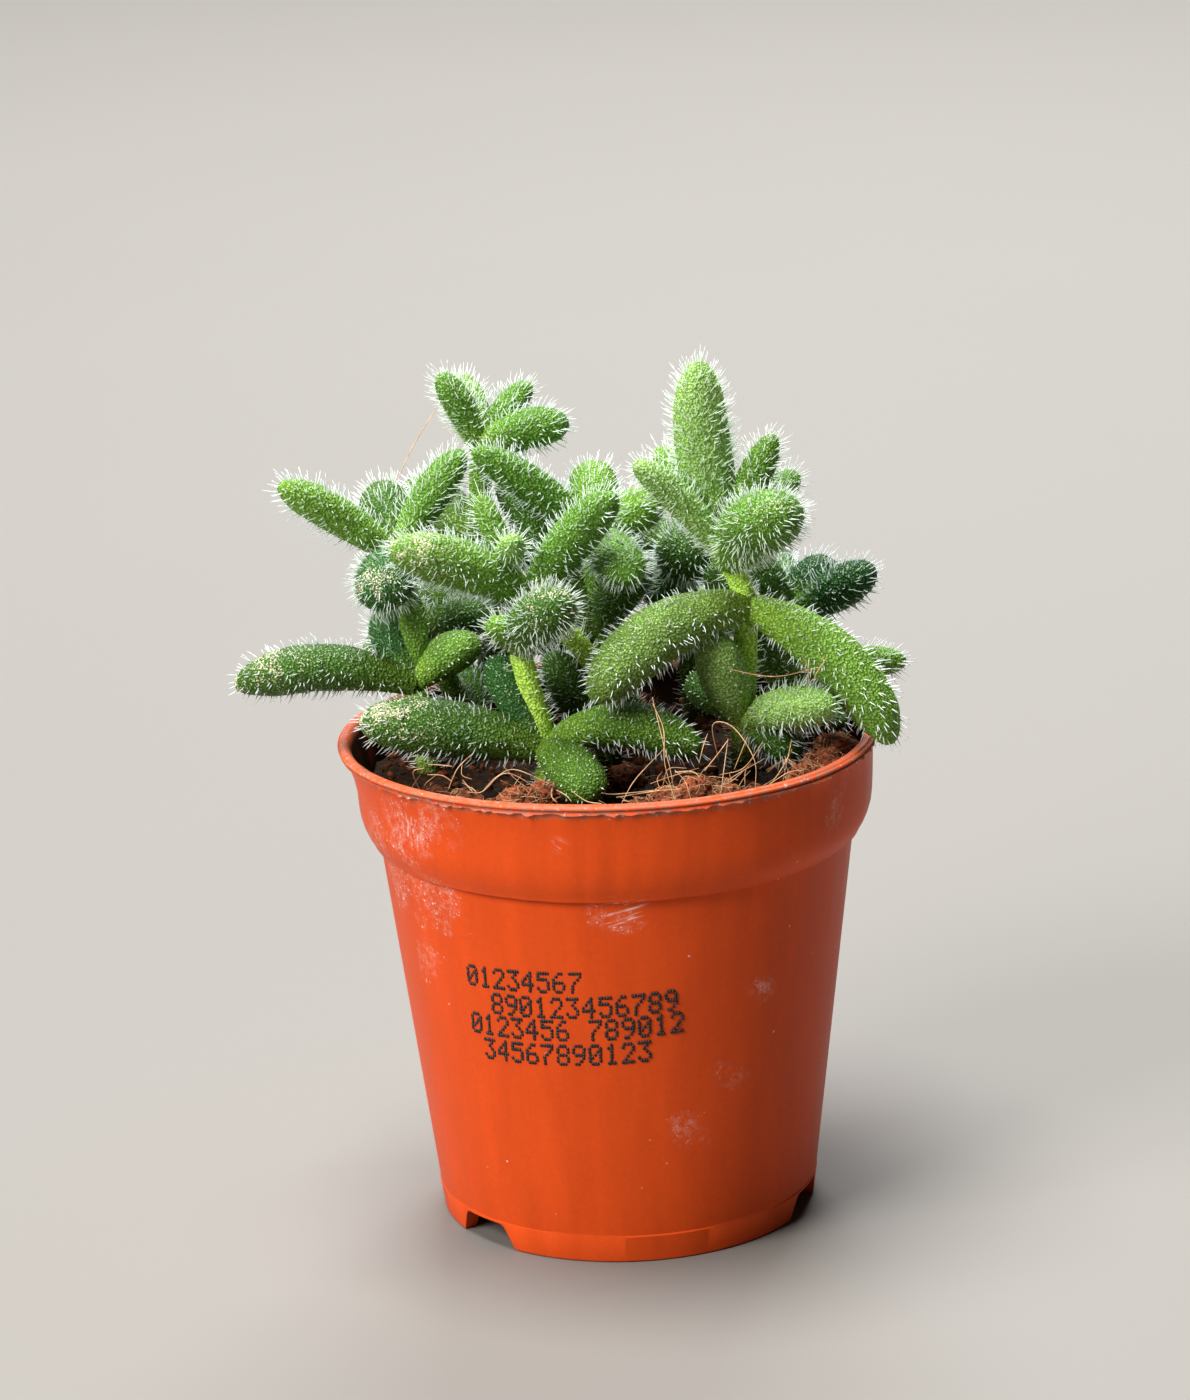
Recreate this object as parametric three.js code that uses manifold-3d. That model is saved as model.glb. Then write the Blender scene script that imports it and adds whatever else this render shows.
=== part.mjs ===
// A pickle plant in a small nursery pot: nine bristly shoots of fleshy leaves stand in the
// growing mix of a thin moulded pot with a collar and three feet.
// Millimetres, +Z up, the viewer looks along +Y. The origin is on the ground, under the
// middle of the whole plant, so the pot's own axis stands a little to its right and front.
import * as THREE from "three";
import { mergeVertices } from "three/addons/utils/BufferGeometryUtils.js";
import Module from "manifold-3d";

const wasm = await Module();
wasm.setup();

// Pot: heights are above the ground, radii from the pot's own axis
const POT_AXIS = { x: 3.5, y: -3.3 };
const POT_SEGMENTS = 36;
const POT_HEIGHT = 51.7;
const RIM_RADIUS = 27.5;
const LIP_HEIGHT = 1.3;
const LIP_STANDS_OUT = 0.4;
const LIP_WIDTH = 1.3;
const LIP_CHAMFER = 0.3;
const COLLAR_BOTTOM = 41.3;
const COLLAR_ROUND_TOP = 44.2;
const COLLAR_RADIUS = 26.8;
const COLLAR_HEM_RADIUS = 25.6;
const COLLAR_FULLNESS = 0.3;
const BODY_TOP_RADIUS = 24.95;
const BODY_FOOT_RADIUS = 19.8;
const WALL = 0.8;
const FOOT_WIDTH = 1.6;
const FOOT_HEIGHT = 3;
const FLOOR_THICKNESS = 0.9;

// The thin rim is pulled outwards over its top few millimetres on the left
const PULL_FROM = 46.5;
const PULL_OUT = 1.5;
const PULL_AZIMUTH = -90;
const PULL_CURVE = 1.6;

// Three notches part the feet, and holes in the floor drain the pot.
// An azimuth is measured from the front, positive to the right, in degrees.
const NOTCH_AZIMUTHS = [-50, 70, 190];
const NOTCH_HEIGHT = 2.8;
const NOTCH_HALF_FOOT = 4.2;
const NOTCH_HALF_HEAD = 2.9;
const NOTCH_CORNER = 0.7;
const NOTCH_DEPTH = BODY_FOOT_RADIUS / 2;
const NOTCH_BELOW_GROUND = 1;
const DRAIN_COUNT = 6;
const DRAIN_RADIUS = 1.5;
const DRAIN_RING_RADIUS = 12;
const DRAIN_SEGMENTS = 10;

// Growing mix
const SOIL_TOP = 47.2;
const SOIL_CRUMB = 0.45;
const BROAD_WAVE = { share: 0.6, acrossX: 0.31, startX: 1.3, acrossY: 0.27, startY: -0.4 };
const FINE_WAVE = { share: 0.4, acrossX: 1.1, slantX: -0.6, acrossY: 0.9, slantY: 0.5 };
const SOIL_SEGMENTS = 32;
const SOIL_RINGS = 5;
const CLEARANCE = 0.35;
const STEM_HOLE_DEPTH = 8;

// Stems and leaves
const STEM_RADIUS = 1.4;
const STEM_TAPER = 0.15;
const STEM_FOOT = 46;
const STEM_SIDES = 6;
const STEM_STATION_EVERY = 4;
const STEM_END_SHARE = 0.001;
const LEAF_SIDES = 7;
const LEAF_FLATNESS = 0.86;
const LEAF_ROOT_GIRTH = 0.52;
const LEAF_FULL_FROM = 0.58;
const LEAF_TIP_BLUNTNESS = 2.4;
const LEAF_STATIONS = [0, 0.06, 0.28, 0.54, 0.77, 0.93, 1];
const LEAF_AREA_SHARE = 0.8;

// Bristles
const BRISTLE_LENGTH = 1.35;
const BRISTLE_RADIUS = 0.25;
const BRISTLE_SINK = 0.4;
const BRISTLE_LEAN = 0.3;
const BRISTLE_AREA = 32;
const FEWEST_BRISTLES = 6;
const BRISTLES_FROM = 0.12;
const BRISTLES_CLOSE_UP = 0.9;
const LEAF_BRISTLE_TURN = 1.9;
const STEM_BRISTLE_TURN = 0.7;
const STEM_BRISTLES_PER_MM = 0.3;
const BRISTLE_APART = 0.6;
const OWN_LIMB_APART = 0.1;
const GOLDEN_ANGLE = Math.PI * (3 - Math.sqrt(5));

// Steps for slopes and for joining equal points
const SLOPE_STEP = 0.01;
const TIP_FROM = 0.995;
const WELD_DISTANCE = 1e-4;

const POT_COLOUR = 0xd9502b;
const POT_ROUGHNESS = 0.42;
const SOIL_COLOUR = 0x2b1a12;
const SOIL_ROUGHNESS = 0.95;
const LEAF_ROUGHNESS = 0.5;

// Each shoot: its stem's points from the mix upwards, and its leaves. A leaf grows from the
// stem point "node" to "tip", is "width" across at its fullest, and bows upwards by "arch".
// All points are measured from the pot's axis.
const SHOOTS = [
  {
    name: "shoot_tall_right",
    colour: 0x6fae3e,
    stem: [[13.5, -3.5, 49], [13.5, -3.5, 53.5], [14, -3.5, 65.5], [12.5, -3.5, 70.5]],
    leaves: [
      { node: 3, tip: [10, -1, 91], width: 6.2, arch: -1.2 },
      { node: 3, tip: [3, -7, 82], width: 3.9, arch: 0.8 },
      { node: 3, tip: [17.6, -2.4, 83.3], width: 4.2, arch: 0.6 },
      { node: 3, tip: [18.3, -14, 77.7], width: 7.6, arch: 1.2 },
      { node: 3, tip: [20, 4, 77.5], width: 4.2, arch: 0.8 },
      { node: 3, tip: [5.5, 3, 81], width: 4.2, arch: 0.6 },
      { node: 2, tip: [-2, -14, 59], width: 7, arch: 2.6 },
      { node: 2, tip: [28.5, -9, 51.8], width: 6.5, arch: 2.7 },
      { node: 1, tip: [22.5, -12, 57], width: 5.2, arch: 0.4 },
      { node: 1, tip: [10.4, -7, 64], width: 5.4, arch: -0.6 },
      { node: 1, tip: [19, -6, 49.8], width: 4.6, arch: 0.5 },
      { node: 1, tip: [8.5, 4.5, 55], width: 5, arch: 0.8 },
    ],
  },
  {
    name: "shoot_right",
    colour: 0x3f7f3c,
    stem: [[17.5, 8, 49], [18.5, 8, 53], [19, 8, 61.5]],
    leaves: [
      { node: 2, tip: [28, 6, 66.6], width: 5.2, arch: -0.2 },
      { node: 2, tip: [24, 12, 65.3], width: 5.4, arch: 0.8 },
      { node: 1, tip: [31.5, 12, 54.5], width: 4.2, arch: 1 },
      { node: 1, tip: [23.5, 26, 54.5], width: 5.4, arch: 1.6 },
      { node: 2, tip: [17.5, 20, 64.5], width: 4.6, arch: 0.8 },
      { node: 1, tip: [24, -0.5, 51.5], width: 4.2, arch: 0.5 },
      { node: 1, tip: [10.5, 1.5, 68.5], width: 5, arch: 0.5 },
      { node: 2, tip: [14.8, 7, 68.5], width: 4.2, arch: 0.3 },
    ],
  },
  {
    name: "shoot_front",
    colour: 0x5a9440,
    stem: [[-7, -7, 49.8], [-7, -8, 52.5], [-9.5, -8, 63.5]],
    leaves: [
      { node: 1, tip: [-26, -10, 56.5], width: 6.9, arch: 0.6 },
      { node: 1, tip: [9, -12, 52.5], width: 5.4, arch: 2.8 },
      { node: 1, tip: [-2.2, -18.3, 50.1], width: 5.6, arch: 0.6 },
      { node: 1, tip: [-12.5, -5, 61.5], width: 5.2, arch: 0.4 },
      { node: 2, tip: [-4.5, -17, 70.1], width: 6, arch: 0.8 },
      { node: 2, tip: [-12, -12, 67], width: 3.2, arch: 0.3 },
    ],
  },
  {
    name: "shoot_left",
    colour: 0x55963a,
    stem: [[-19.5, 1, 49], [-20.5, 0, 57.5]],
    leaves: [
      { node: 1, tip: [-39, -3, 58.8], width: 5.8, arch: 1.9 },
      { node: 1, tip: [-20.5, 3, 65.5], width: 3.2, arch: 0.3 },
      { node: 1, tip: [-13.5, 2.5, 61], width: 5, arch: 0.8 },
      { node: 1, tip: [-24, 5, 64], width: 5.2, arch: 0.5 },
    ],
  },
  {
    name: "shoot_middle",
    colour: 0x5c9c3d,
    stem: [[-0.5, 1, 49], [-2, 0, 59], [-8, -3, 67], [-10.5, -3, 70]],
    leaves: [
      { node: 2, tip: [-22, -11, 74.8], width: 6, arch: 1 },
      { node: 2, tip: [1, -8, 79], width: 5.4, arch: 0.6 },
      { node: 3, tip: [-13, -2, 78], width: 3, arch: 0.3 },
      { node: 3, tip: [-9.4, -9.3, 75], width: 3, arch: 0.3 },
      { node: 0, tip: [-6.5, -1, 60.5], width: 5.4, arch: 0.3 },
    ],
  },
  {
    name: "shoot_upper_left",
    colour: 0x4f9a3a,
    stem: [[-14.5, 8, 49], [-20, 9.5, 61], [-22, 3, 70.5]],
    leaves: [
      { node: 2, tip: [-33.5, -1, 79.5], width: 4.6, arch: 0.5 },
      { node: 2, tip: [-14.5, 7, 80.5], width: 4.4, arch: 0.5 },
      { node: 2, tip: [-23.6, -6, 67.9], width: 6.2, arch: 0.4 },
      { node: 2, tip: [-23.5, 11, 76], width: 5.6, arch: 0.5 },
      { node: 1, tip: [-26, 20, 65], width: 5.2, arch: 1 },
      { node: 1, tip: [-25.5, 14, 55], width: 5, arch: 1 },
      { node: 1, tip: [-12.5, 7.5, 62.5], width: 4.4, arch: 0.3 },
      { node: 0, tip: [-16.5, 16.5, 54.5], width: 5, arch: 0.6 },
    ],
  },
  {
    name: "shoot_back_left",
    colour: 0x63a548,
    stem: [[-8.5, 16, 49], [-10.5, 17, 58], [-13, 16, 67], [-13, 15, 79]],
    leaves: [
      { node: 3, tip: [-17, 15, 87], width: 3.8, arch: 0.3 },
      { node: 3, tip: [-7.5, 20, 84.5], width: 3.4, arch: 0.3 },
      { node: 3, tip: [-3.5, 13, 81.5], width: 5, arch: 0.6 },
      { node: 1, tip: [-24, 25, 59], width: 6.2, arch: 1.6 },
      { node: 1, tip: [-2, 31, 55.5], width: 6.4, arch: 2 },
      { node: 2, tip: [-21, 27, 72], width: 5.6, arch: 1 },
      { node: 3, tip: [-15.5, 25, 84], width: 4.6, arch: 0.6 },
      { node: 2, tip: [-4.5, 19.5, 65], width: 5, arch: 0.8 },
      { node: 1, tip: [-12.5, 21, 51], width: 4.6, arch: 1 },
    ],
  },
  {
    name: "shoot_back_middle",
    colour: 0x569a3f,
    stem: [[3, 9, 49], [-1, 8, 60.5], [-1.5, 7, 71]],
    leaves: [
      { node: 2, tip: [-13.5, 3, 81.5], width: 4.4, arch: 0.6 },
      { node: 2, tip: [6.2, 5, 74.6], width: 5.4, arch: 0.6 },
      { node: 2, tip: [-1, 16, 76], width: 5.4, arch: 0.6 },
      { node: 2, tip: [2.5, -7, 70], width: 5.2, arch: 0.4 },
      { node: 1, tip: [-9, 9, 58.5], width: 5, arch: 0.8 },
      { node: 1, tip: [-0.5, 17, 57.5], width: 4.6, arch: 0.4 },
      { node: 1, tip: [-11, 10.5, 77], width: 5.6, arch: 0.5 },
      { node: 1, tip: [3.8, 2, 69], width: 5, arch: 0.4 },
    ],
  },
  {
    name: "shoot_back_right",
    colour: 0x4d8f3c,
    stem: [[9, 17, 49], [8.5, 16, 57], [8.5, 16, 65]],
    leaves: [
      { node: 2, tip: [8.5, 6.5, 68.5], width: 6.8, arch: 0.6 },
      { node: 2, tip: [19.5, 26, 72], width: 5.2, arch: 0.8 },
      { node: 2, tip: [-1, 23, 70], width: 5.4, arch: 0.8 },
      { node: 1, tip: [14, 33, 53.5], width: 6.4, arch: 2 },
      { node: 2, tip: [9.5, 21, 75], width: 4, arch: 0.3 },
      { node: 1, tip: [3, 24, 51.5], width: 5, arch: 1.4 },
      { node: 2, tip: [3.6, 12, 62.5], width: 5.6, arch: 0.4 },
    ],
  },
];

const radians = THREE.MathUtils.degToRad;
const point = (xyz) => new THREE.Vector3(...xyz);

// A closed three.js geometry as a solid that can be joined and cut
function solidOf(geometry) {
  const bare = geometry.clone();
  bare.deleteAttribute("normal");
  bare.deleteAttribute("uv");
  const welded = mergeVertices(bare, WELD_DISTANCE);
  const index = welded.index.array;
  const triVerts = [];
  for (let i = 0; i < index.length; i += 3) {
    const [a, b, c] = [index[i], index[i + 1], index[i + 2]];
    if (a !== b && b !== c && c !== a) triVerts.push(a, b, c);
  }
  return new wasm.Manifold(
    new wasm.Mesh({
      numProp: 3,
      vertProperties: welded.attributes.position.array,
      triVerts: new Uint32Array(triVerts),
    }),
  );
}

function geometryOf(solid) {
  const { vertProperties, triVerts } = solid.getMesh();
  const geometry = new THREE.BufferGeometry();
  geometry.setAttribute("position", new THREE.BufferAttribute(vertProperties, 3));
  geometry.setIndex(new THREE.BufferAttribute(triVerts, 1));
  geometry.computeVertexNormals();
  return geometry;
}

function meshOf(name, solid, colour, roughness) {
  const material = new THREE.MeshStandardMaterial({ color: colour, roughness, metalness: 0 });
  const mesh = new THREE.Mesh(geometryOf(solid), material);
  mesh.name = name;
  return mesh;
}

// A profile of [radius, height] pairs turned about +Z
function turned(profile, segments) {
  const points = profile.map(([r, z]) => new THREE.Vector2(r, z));
  return new THREE.LatheGeometry(points, segments).rotateX(Math.PI / 2);
}

// Radius of the body's outer face at a height
function bodyRadius(z) {
  return THREE.MathUtils.lerp(BODY_FOOT_RADIUS, BODY_TOP_RADIUS, z / COLLAR_BOTTOM);
}

// How far the rim is pulled outwards at a place on it
function rimPull(x, y, z) {
  const rise = THREE.MathUtils.clamp((z - PULL_FROM) / (POT_HEIGHT - PULL_FROM), 0, 1);
  const azimuth = Math.atan2(x, -y);
  const facing = Math.max(0, Math.cos(azimuth - radians(PULL_AZIMUTH)));
  return PULL_OUT * rise ** PULL_CURVE * facing ** 2;
}

// Moves each vertex outwards from the pot's axis by the rim's pull
function pullRim(geometry) {
  const position = geometry.attributes.position;
  for (let i = 0; i < position.count; i += 1) {
    const [x, y, z] = [position.getX(i), position.getY(i), position.getZ(i)];
    const radius = Math.hypot(x, y);
    const pull = rimPull(x, y, z);
    if (radius > 0) position.setXY(i, x + (x / radius) * pull, y + (y / radius) * pull);
  }
  return geometry;
}

// A notch between two feet: a tapered slot that runs out through the skirt
function notch(azimuth) {
  const shape = new THREE.Shape();
  shape.moveTo(-NOTCH_HALF_FOOT, -NOTCH_BELOW_GROUND);
  shape.lineTo(NOTCH_HALF_FOOT, -NOTCH_BELOW_GROUND);
  shape.lineTo(NOTCH_HALF_FOOT, 0);
  shape.lineTo(NOTCH_HALF_HEAD + NOTCH_CORNER, NOTCH_HEIGHT - NOTCH_CORNER);
  shape.lineTo(NOTCH_HALF_HEAD, NOTCH_HEIGHT);
  shape.lineTo(-NOTCH_HALF_HEAD, NOTCH_HEIGHT);
  shape.lineTo(-NOTCH_HALF_HEAD - NOTCH_CORNER, NOTCH_HEIGHT - NOTCH_CORNER);
  shape.lineTo(-NOTCH_HALF_FOOT, 0);
  const slot = new THREE.ExtrudeGeometry(shape, { depth: NOTCH_DEPTH, bevelEnabled: false });
  slot.translate(0, 0, BODY_FOOT_RADIUS - NOTCH_DEPTH / 2);
  slot.rotateX(Math.PI / 2);
  return solidOf(slot.rotateZ(radians(azimuth)));
}

function drainHole(turn) {
  const hole = new THREE.CylinderGeometry(DRAIN_RADIUS, DRAIN_RADIUS, FOOT_HEIGHT * 3, DRAIN_SEGMENTS);
  hole.rotateX(Math.PI / 2);
  hole.translate(DRAIN_RING_RADIUS, 0, FOOT_HEIGHT);
  return solidOf(hole.rotateZ(turn));
}

function makePot() {
  const floorTop = FOOT_HEIGHT + FLOOR_THICKNESS;
  const lipFoot = POT_HEIGHT - LIP_HEIGHT;
  const collarMiddle = (COLLAR_BOTTOM + COLLAR_ROUND_TOP) / 2;
  const profile = [
    [0, FOOT_HEIGHT],
    [bodyRadius(FOOT_HEIGHT) - FOOT_WIDTH, FOOT_HEIGHT],
    [BODY_FOOT_RADIUS - FOOT_WIDTH, 0],
    [BODY_FOOT_RADIUS, 0],
    [BODY_TOP_RADIUS, COLLAR_BOTTOM],
    [COLLAR_HEM_RADIUS, COLLAR_BOTTOM],
    [COLLAR_RADIUS - COLLAR_FULLNESS, collarMiddle],
    [COLLAR_RADIUS, COLLAR_ROUND_TOP],
    [RIM_RADIUS - LIP_STANDS_OUT, PULL_FROM],
    [RIM_RADIUS - LIP_STANDS_OUT, lipFoot],
    [RIM_RADIUS, lipFoot + LIP_STANDS_OUT / 2],
    [RIM_RADIUS, POT_HEIGHT - LIP_CHAMFER],
    [RIM_RADIUS - LIP_CHAMFER, POT_HEIGHT],
    [RIM_RADIUS - LIP_WIDTH, POT_HEIGHT],
    [RIM_RADIUS - LIP_STANDS_OUT - WALL, PULL_FROM],
    [COLLAR_RADIUS - WALL, COLLAR_ROUND_TOP],
    [bodyRadius(COLLAR_BOTTOM) - WALL, COLLAR_BOTTOM],
    [bodyRadius(floorTop) - WALL, floorTop],
    [0, floorTop],
  ];
  let pot = solidOf(pullRim(turned(profile, POT_SEGMENTS)));
  for (const azimuth of NOTCH_AZIMUTHS) pot = pot.subtract(notch(azimuth));
  for (let i = 0; i < DRAIN_COUNT; i += 1) {
    pot = pot.subtract(drainHole((2 * Math.PI * (i + 0.5)) / DRAIN_COUNT));
  }
  return meshOf("pot", pot, POT_COLOUR, POT_ROUGHNESS);
}

// Height of the mix's crumbly surface above its mean level
function crumb(x, y) {
  const { acrossX, startX, acrossY, startY } = BROAD_WAVE;
  const broad = Math.sin(acrossX * x + startX) * Math.cos(acrossY * y + startY);
  const { slantX, slantY } = FINE_WAVE;
  const alongX = FINE_WAVE.acrossX * x + slantX * y;
  const alongY = FINE_WAVE.acrossY * y + slantY * x;
  const fine = Math.sin(alongX) * Math.cos(alongY);
  return SOIL_CRUMB * (BROAD_WAVE.share * broad + FINE_WAVE.share * fine);
}

function stemHole([x, y]) {
  const radius = STEM_RADIUS + CLEARANCE;
  const hole = new THREE.CylinderGeometry(radius, radius, STEM_HOLE_DEPTH, STEM_SIDES + 1);
  hole.rotateX(Math.PI / 2);
  return solidOf(hole.translate(x, y, STEM_FOOT - CLEARANCE + STEM_HOLE_DEPTH / 2));
}

function makeSoil() {
  const low = FOOT_HEIGHT + FLOOR_THICKNESS + CLEARANCE;
  const gap = WALL + CLEARANCE;
  const edge = COLLAR_RADIUS - gap;
  const profile = [
    [0, low],
    [bodyRadius(low) - gap, low],
    [bodyRadius(COLLAR_BOTTOM) - gap, COLLAR_BOTTOM],
    [edge, COLLAR_ROUND_TOP + CLEARANCE],
  ];
  for (let ring = 0; ring <= SOIL_RINGS; ring += 1) {
    profile.push([edge * (1 - ring / SOIL_RINGS), SOIL_TOP]);
  }
  const heap = turned(profile, SOIL_SEGMENTS);
  const position = heap.attributes.position;
  for (let i = 0; i < position.count; i += 1) {
    const [x, y, z] = [position.getX(i), position.getY(i), position.getZ(i)];
    if (z > COLLAR_ROUND_TOP + 2 * CLEARANCE) position.setZ(i, z + crumb(x, y));
  }
  let soil = solidOf(heap);
  for (const shoot of SHOOTS) soil = soil.subtract(stemHole(shoot.stem[0]));
  return meshOf("soil", soil, SOIL_COLOUR, SOIL_ROUGHNESS);
}

// A leaf swells from its root to its fullest, then rounds off to its tip
function leafGirth(t) {
  const swell = Math.sin(Math.min(t / LEAF_FULL_FROM, 1) * (Math.PI / 2));
  const past = Math.max(0, (t - LEAF_FULL_FROM) / (1 - LEAF_FULL_FROM));
  const round = Math.sqrt(Math.max(0, 1 - past ** LEAF_TIP_BLUNTNESS));
  return (LEAF_ROOT_GIRTH + (1 - LEAF_ROOT_GIRTH) * swell) * round;
}

// A limb is a stem or a leaf: a curve, the side that it is wide on, and its half width
class Limb {
  constructor(curve, side, girth, flatness) {
    this.curve = curve;
    this.side = side;
    this.girth = girth;
    this.flatness = flatness;
    this.length = curve.getLength();
    this.beads = [];
    const beads = Math.ceil(this.length);
    for (let i = 0; i <= beads; i += 1) {
      this.beads.push({ centre: curve.getPoint(i / beads), radius: girth(i / beads) });
    }
  }

  // The skin's point at a share of the length and an angle round the limb
  skin(t, angle) {
    const tangent = this.curve.getTangent(t);
    const lift = new THREE.Vector3().crossVectors(this.side, tangent).normalize();
    const radius = this.girth(t);
    return this.curve
      .getPoint(t)
      .addScaledVector(this.side, radius * Math.sin(angle))
      .addScaledVector(lift, radius * this.flatness * Math.cos(angle));
  }

  // The skin's outward direction there
  outward(t, angle) {
    if (t > TIP_FROM) return this.curve.getTangent(1);
    const half = SLOPE_STEP / 2;
    const along = this.skin(t + half, angle).sub(this.skin(t - half, angle));
    const round = this.skin(t, angle + SLOPE_STEP).sub(this.skin(t, angle - SLOPE_STEP));
    return new THREE.Vector3().crossVectors(along, round).normalize();
  }

  // A lathe of radius one that is bent along the curve and drawn in to the girth
  solid(stations, sides) {
    const profile = stations.map((t) => {
      const end = t === 0 || t === 1;
      return new THREE.Vector2(end ? 0 : 1, t);
    });
    const geometry = new THREE.LatheGeometry(profile, sides);
    const position = geometry.attributes.position;
    for (let i = 0; i < position.count; i += 1) {
      const t = position.getY(i);
      const onSkin = Math.round(Math.hypot(position.getX(i), position.getZ(i))) === 1;
      const angle = Math.atan2(position.getX(i), position.getZ(i));
      const place = onSkin ? this.skin(t, angle) : this.curve.getPoint(t);
      position.setXYZ(i, place.x, place.y, place.z);
    }
    return solidOf(geometry);
  }

  // Whether a point lies further than a gap from the limb
  isClearOf(place, gap) {
    return this.beads.every((bead) => bead.centre.distanceTo(place) > bead.radius + gap);
  }
}

function leafLimb(root, { tip, width, arch }) {
  const end = point(tip);
  const along = end.clone().sub(root).normalize();
  const side = new THREE.Vector3().crossVectors(along, new THREE.Vector3(0, 0, 1)).normalize();
  const lift = new THREE.Vector3().crossVectors(side, along);
  const bow = root.clone().add(end).multiplyScalar(0.5).addScaledVector(lift, 2 * arch);
  const curve = new THREE.QuadraticBezierCurve3(root, bow, end);
  return new Limb(curve, side, (t) => (leafGirth(t) * width) / 2, LEAF_FLATNESS);
}

function stemLimb(stem) {
  const [x, y] = stem[0];
  const curve = new THREE.CatmullRomCurve3([point([x, y, STEM_FOOT]), ...stem.map(point)]);
  const side = new THREE.Vector3(1, 0, 0);
  return new Limb(curve, side, (t) => STEM_RADIUS * (1 - STEM_TAPER * t), 1);
}

// Bristles spiral up a limb at the golden angle, the last one on the very tip
function* bristlePlaces(limb, count, phase) {
  for (let k = 0; k < count; k += 1) {
    const share = ((k + 1) / count) ** BRISTLES_CLOSE_UP;
    const t = BRISTLES_FROM + (1 - BRISTLES_FROM) * share;
    const angle = phase + k * GOLDEN_ANGLE;
    const foot = limb.skin(Math.min(t, 1), angle);
    const direction = limb.outward(t, angle);
    direction.addScaledVector(limb.curve.getTangent(Math.min(t, 1)), BRISTLE_LEAN).normalize();
    yield { foot, direction, point: foot.clone().addScaledVector(direction, BRISTLE_LENGTH) };
  }
}

function bristleSolid({ foot, direction }) {
  const length = BRISTLE_LENGTH + BRISTLE_SINK;
  const cone = new THREE.ConeGeometry(BRISTLE_RADIUS, length, 3);
  cone.translate(0, length / 2 - BRISTLE_SINK, 0);
  cone.applyQuaternion(new THREE.Quaternion().setFromUnitVectors(new THREE.Vector3(0, 1, 0), direction));
  return solidOf(cone.translate(foot.x, foot.y, foot.z));
}

// Whether a point keeps clear of the pot's rim and of the mix
function isClearOfPot(place) {
  const gap = BRISTLE_APART;
  const radius = Math.hypot(place.x, place.y);
  if (radius < COLLAR_RADIUS && place.z < SOIL_TOP + SOIL_CRUMB + gap) return false;
  const inside = RIM_RADIUS - LIP_WIDTH - WALL - radius;
  const outside = radius - RIM_RADIUS - PULL_OUT;
  return Math.hypot(Math.max(inside, outside, 0), Math.max(place.z - POT_HEIGHT, 0)) > gap;
}

// Every limb, grouped by shoot, before any bristle is placed
const limbsOf = new Map(
  SHOOTS.map((shoot) => {
    const stem = stemLimb(shoot.stem);
    const leaves = shoot.leaves.map((leaf) => leafLimb(point(shoot.stem[leaf.node]), leaf));
    return [shoot.name, { stem, leaves }];
  }),
);
const placedBristles = [];

// Whether a bristle stays out of every other limb and every other shoot's bristles
function isFree(bristle, ownLimb, shootName) {
  const middle = bristle.foot.clone().lerp(bristle.point, 0.5);
  for (const [name, { stem, leaves }] of limbsOf) {
    const gap = name === shootName ? OWN_LIMB_APART : BRISTLE_APART;
    for (const limb of [stem, ...leaves]) {
      if (limb === ownLimb) continue;
      const ends = [middle, bristle.point];
      if (name === shootName) ends.push(bristle.foot);
      if (!ends.every((place) => limb.isClearOf(place, gap))) return false;
    }
  }
  if (![middle, bristle.point].every(isClearOfPot)) return false;
  return placedBristles.every(
    (other) =>
      other.shootName === shootName ||
      [middle, bristle.point].every(
        (place) =>
          place.distanceTo(other.point) > BRISTLE_APART &&
          place.distanceTo(other.middle) > BRISTLE_APART,
      ),
  );
}

function makeShoot({ name, colour }) {
  const { stem, leaves } = limbsOf.get(name);
  const stations = Math.ceil(stem.length / STEM_STATION_EVERY);
  let shoot = stem.solid(
    Array.from({ length: stations + 1 }, (_, i) => i / stations).flatMap((t) =>
      t === 0 ? [0, STEM_END_SHARE] : t === 1 ? [1 - STEM_END_SHARE, 1] : [t],
    ),
    STEM_SIDES,
  );
  for (const leaf of leaves) shoot = shoot.add(leaf.solid(LEAF_STATIONS, LEAF_SIDES));
  const grow = (limb, count, phase) => {
    for (const bristle of bristlePlaces(limb, count, phase)) {
      if (!isFree(bristle, limb, name)) continue;
      const middle = bristle.foot.clone().lerp(bristle.point, 0.5);
      placedBristles.push({ point: bristle.point, middle, shootName: name });
      shoot = shoot.add(bristleSolid(bristle));
    }
  };
  leaves.forEach((leaf, i) => {
    const area = LEAF_AREA_SHARE * Math.PI * leaf.length * leaf.girth(0.5) * 2;
    const count = Math.max(FEWEST_BRISTLES, Math.round(area / BRISTLE_AREA));
    grow(leaf, count, i * LEAF_BRISTLE_TURN);
  });
  grow(stem, Math.round(stem.length * STEM_BRISTLES_PER_MM), STEM_BRISTLE_TURN);
  return meshOf(name, shoot, colour, LEAF_ROUGHNESS);
}

const plant = new THREE.Group();
plant.position.set(POT_AXIS.x, POT_AXIS.y, 0);
plant.add(makePot());
plant.add(makeSoil());
for (const shoot of SHOOTS) plant.add(makeShoot(shoot));

const pottedPicklePlant = new THREE.Group();
pottedPicklePlant.add(plant);

export default pottedPicklePlant;
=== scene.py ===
"""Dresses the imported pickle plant: bristly, fleshy shoots in a thin moulded nursery pot.

Sizes here are millimetres and are turned to metres where a mesh is made. Points of the plant
and the pot are measured from the pot's own axis, as in the part's source.
"""

import logging
import math
from collections.abc import Callable, Iterator, Sequence
from dataclasses import dataclass, field
from enum import Enum

import bpy
import numpy as np
from mathutils import Matrix, Vector, noise


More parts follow.
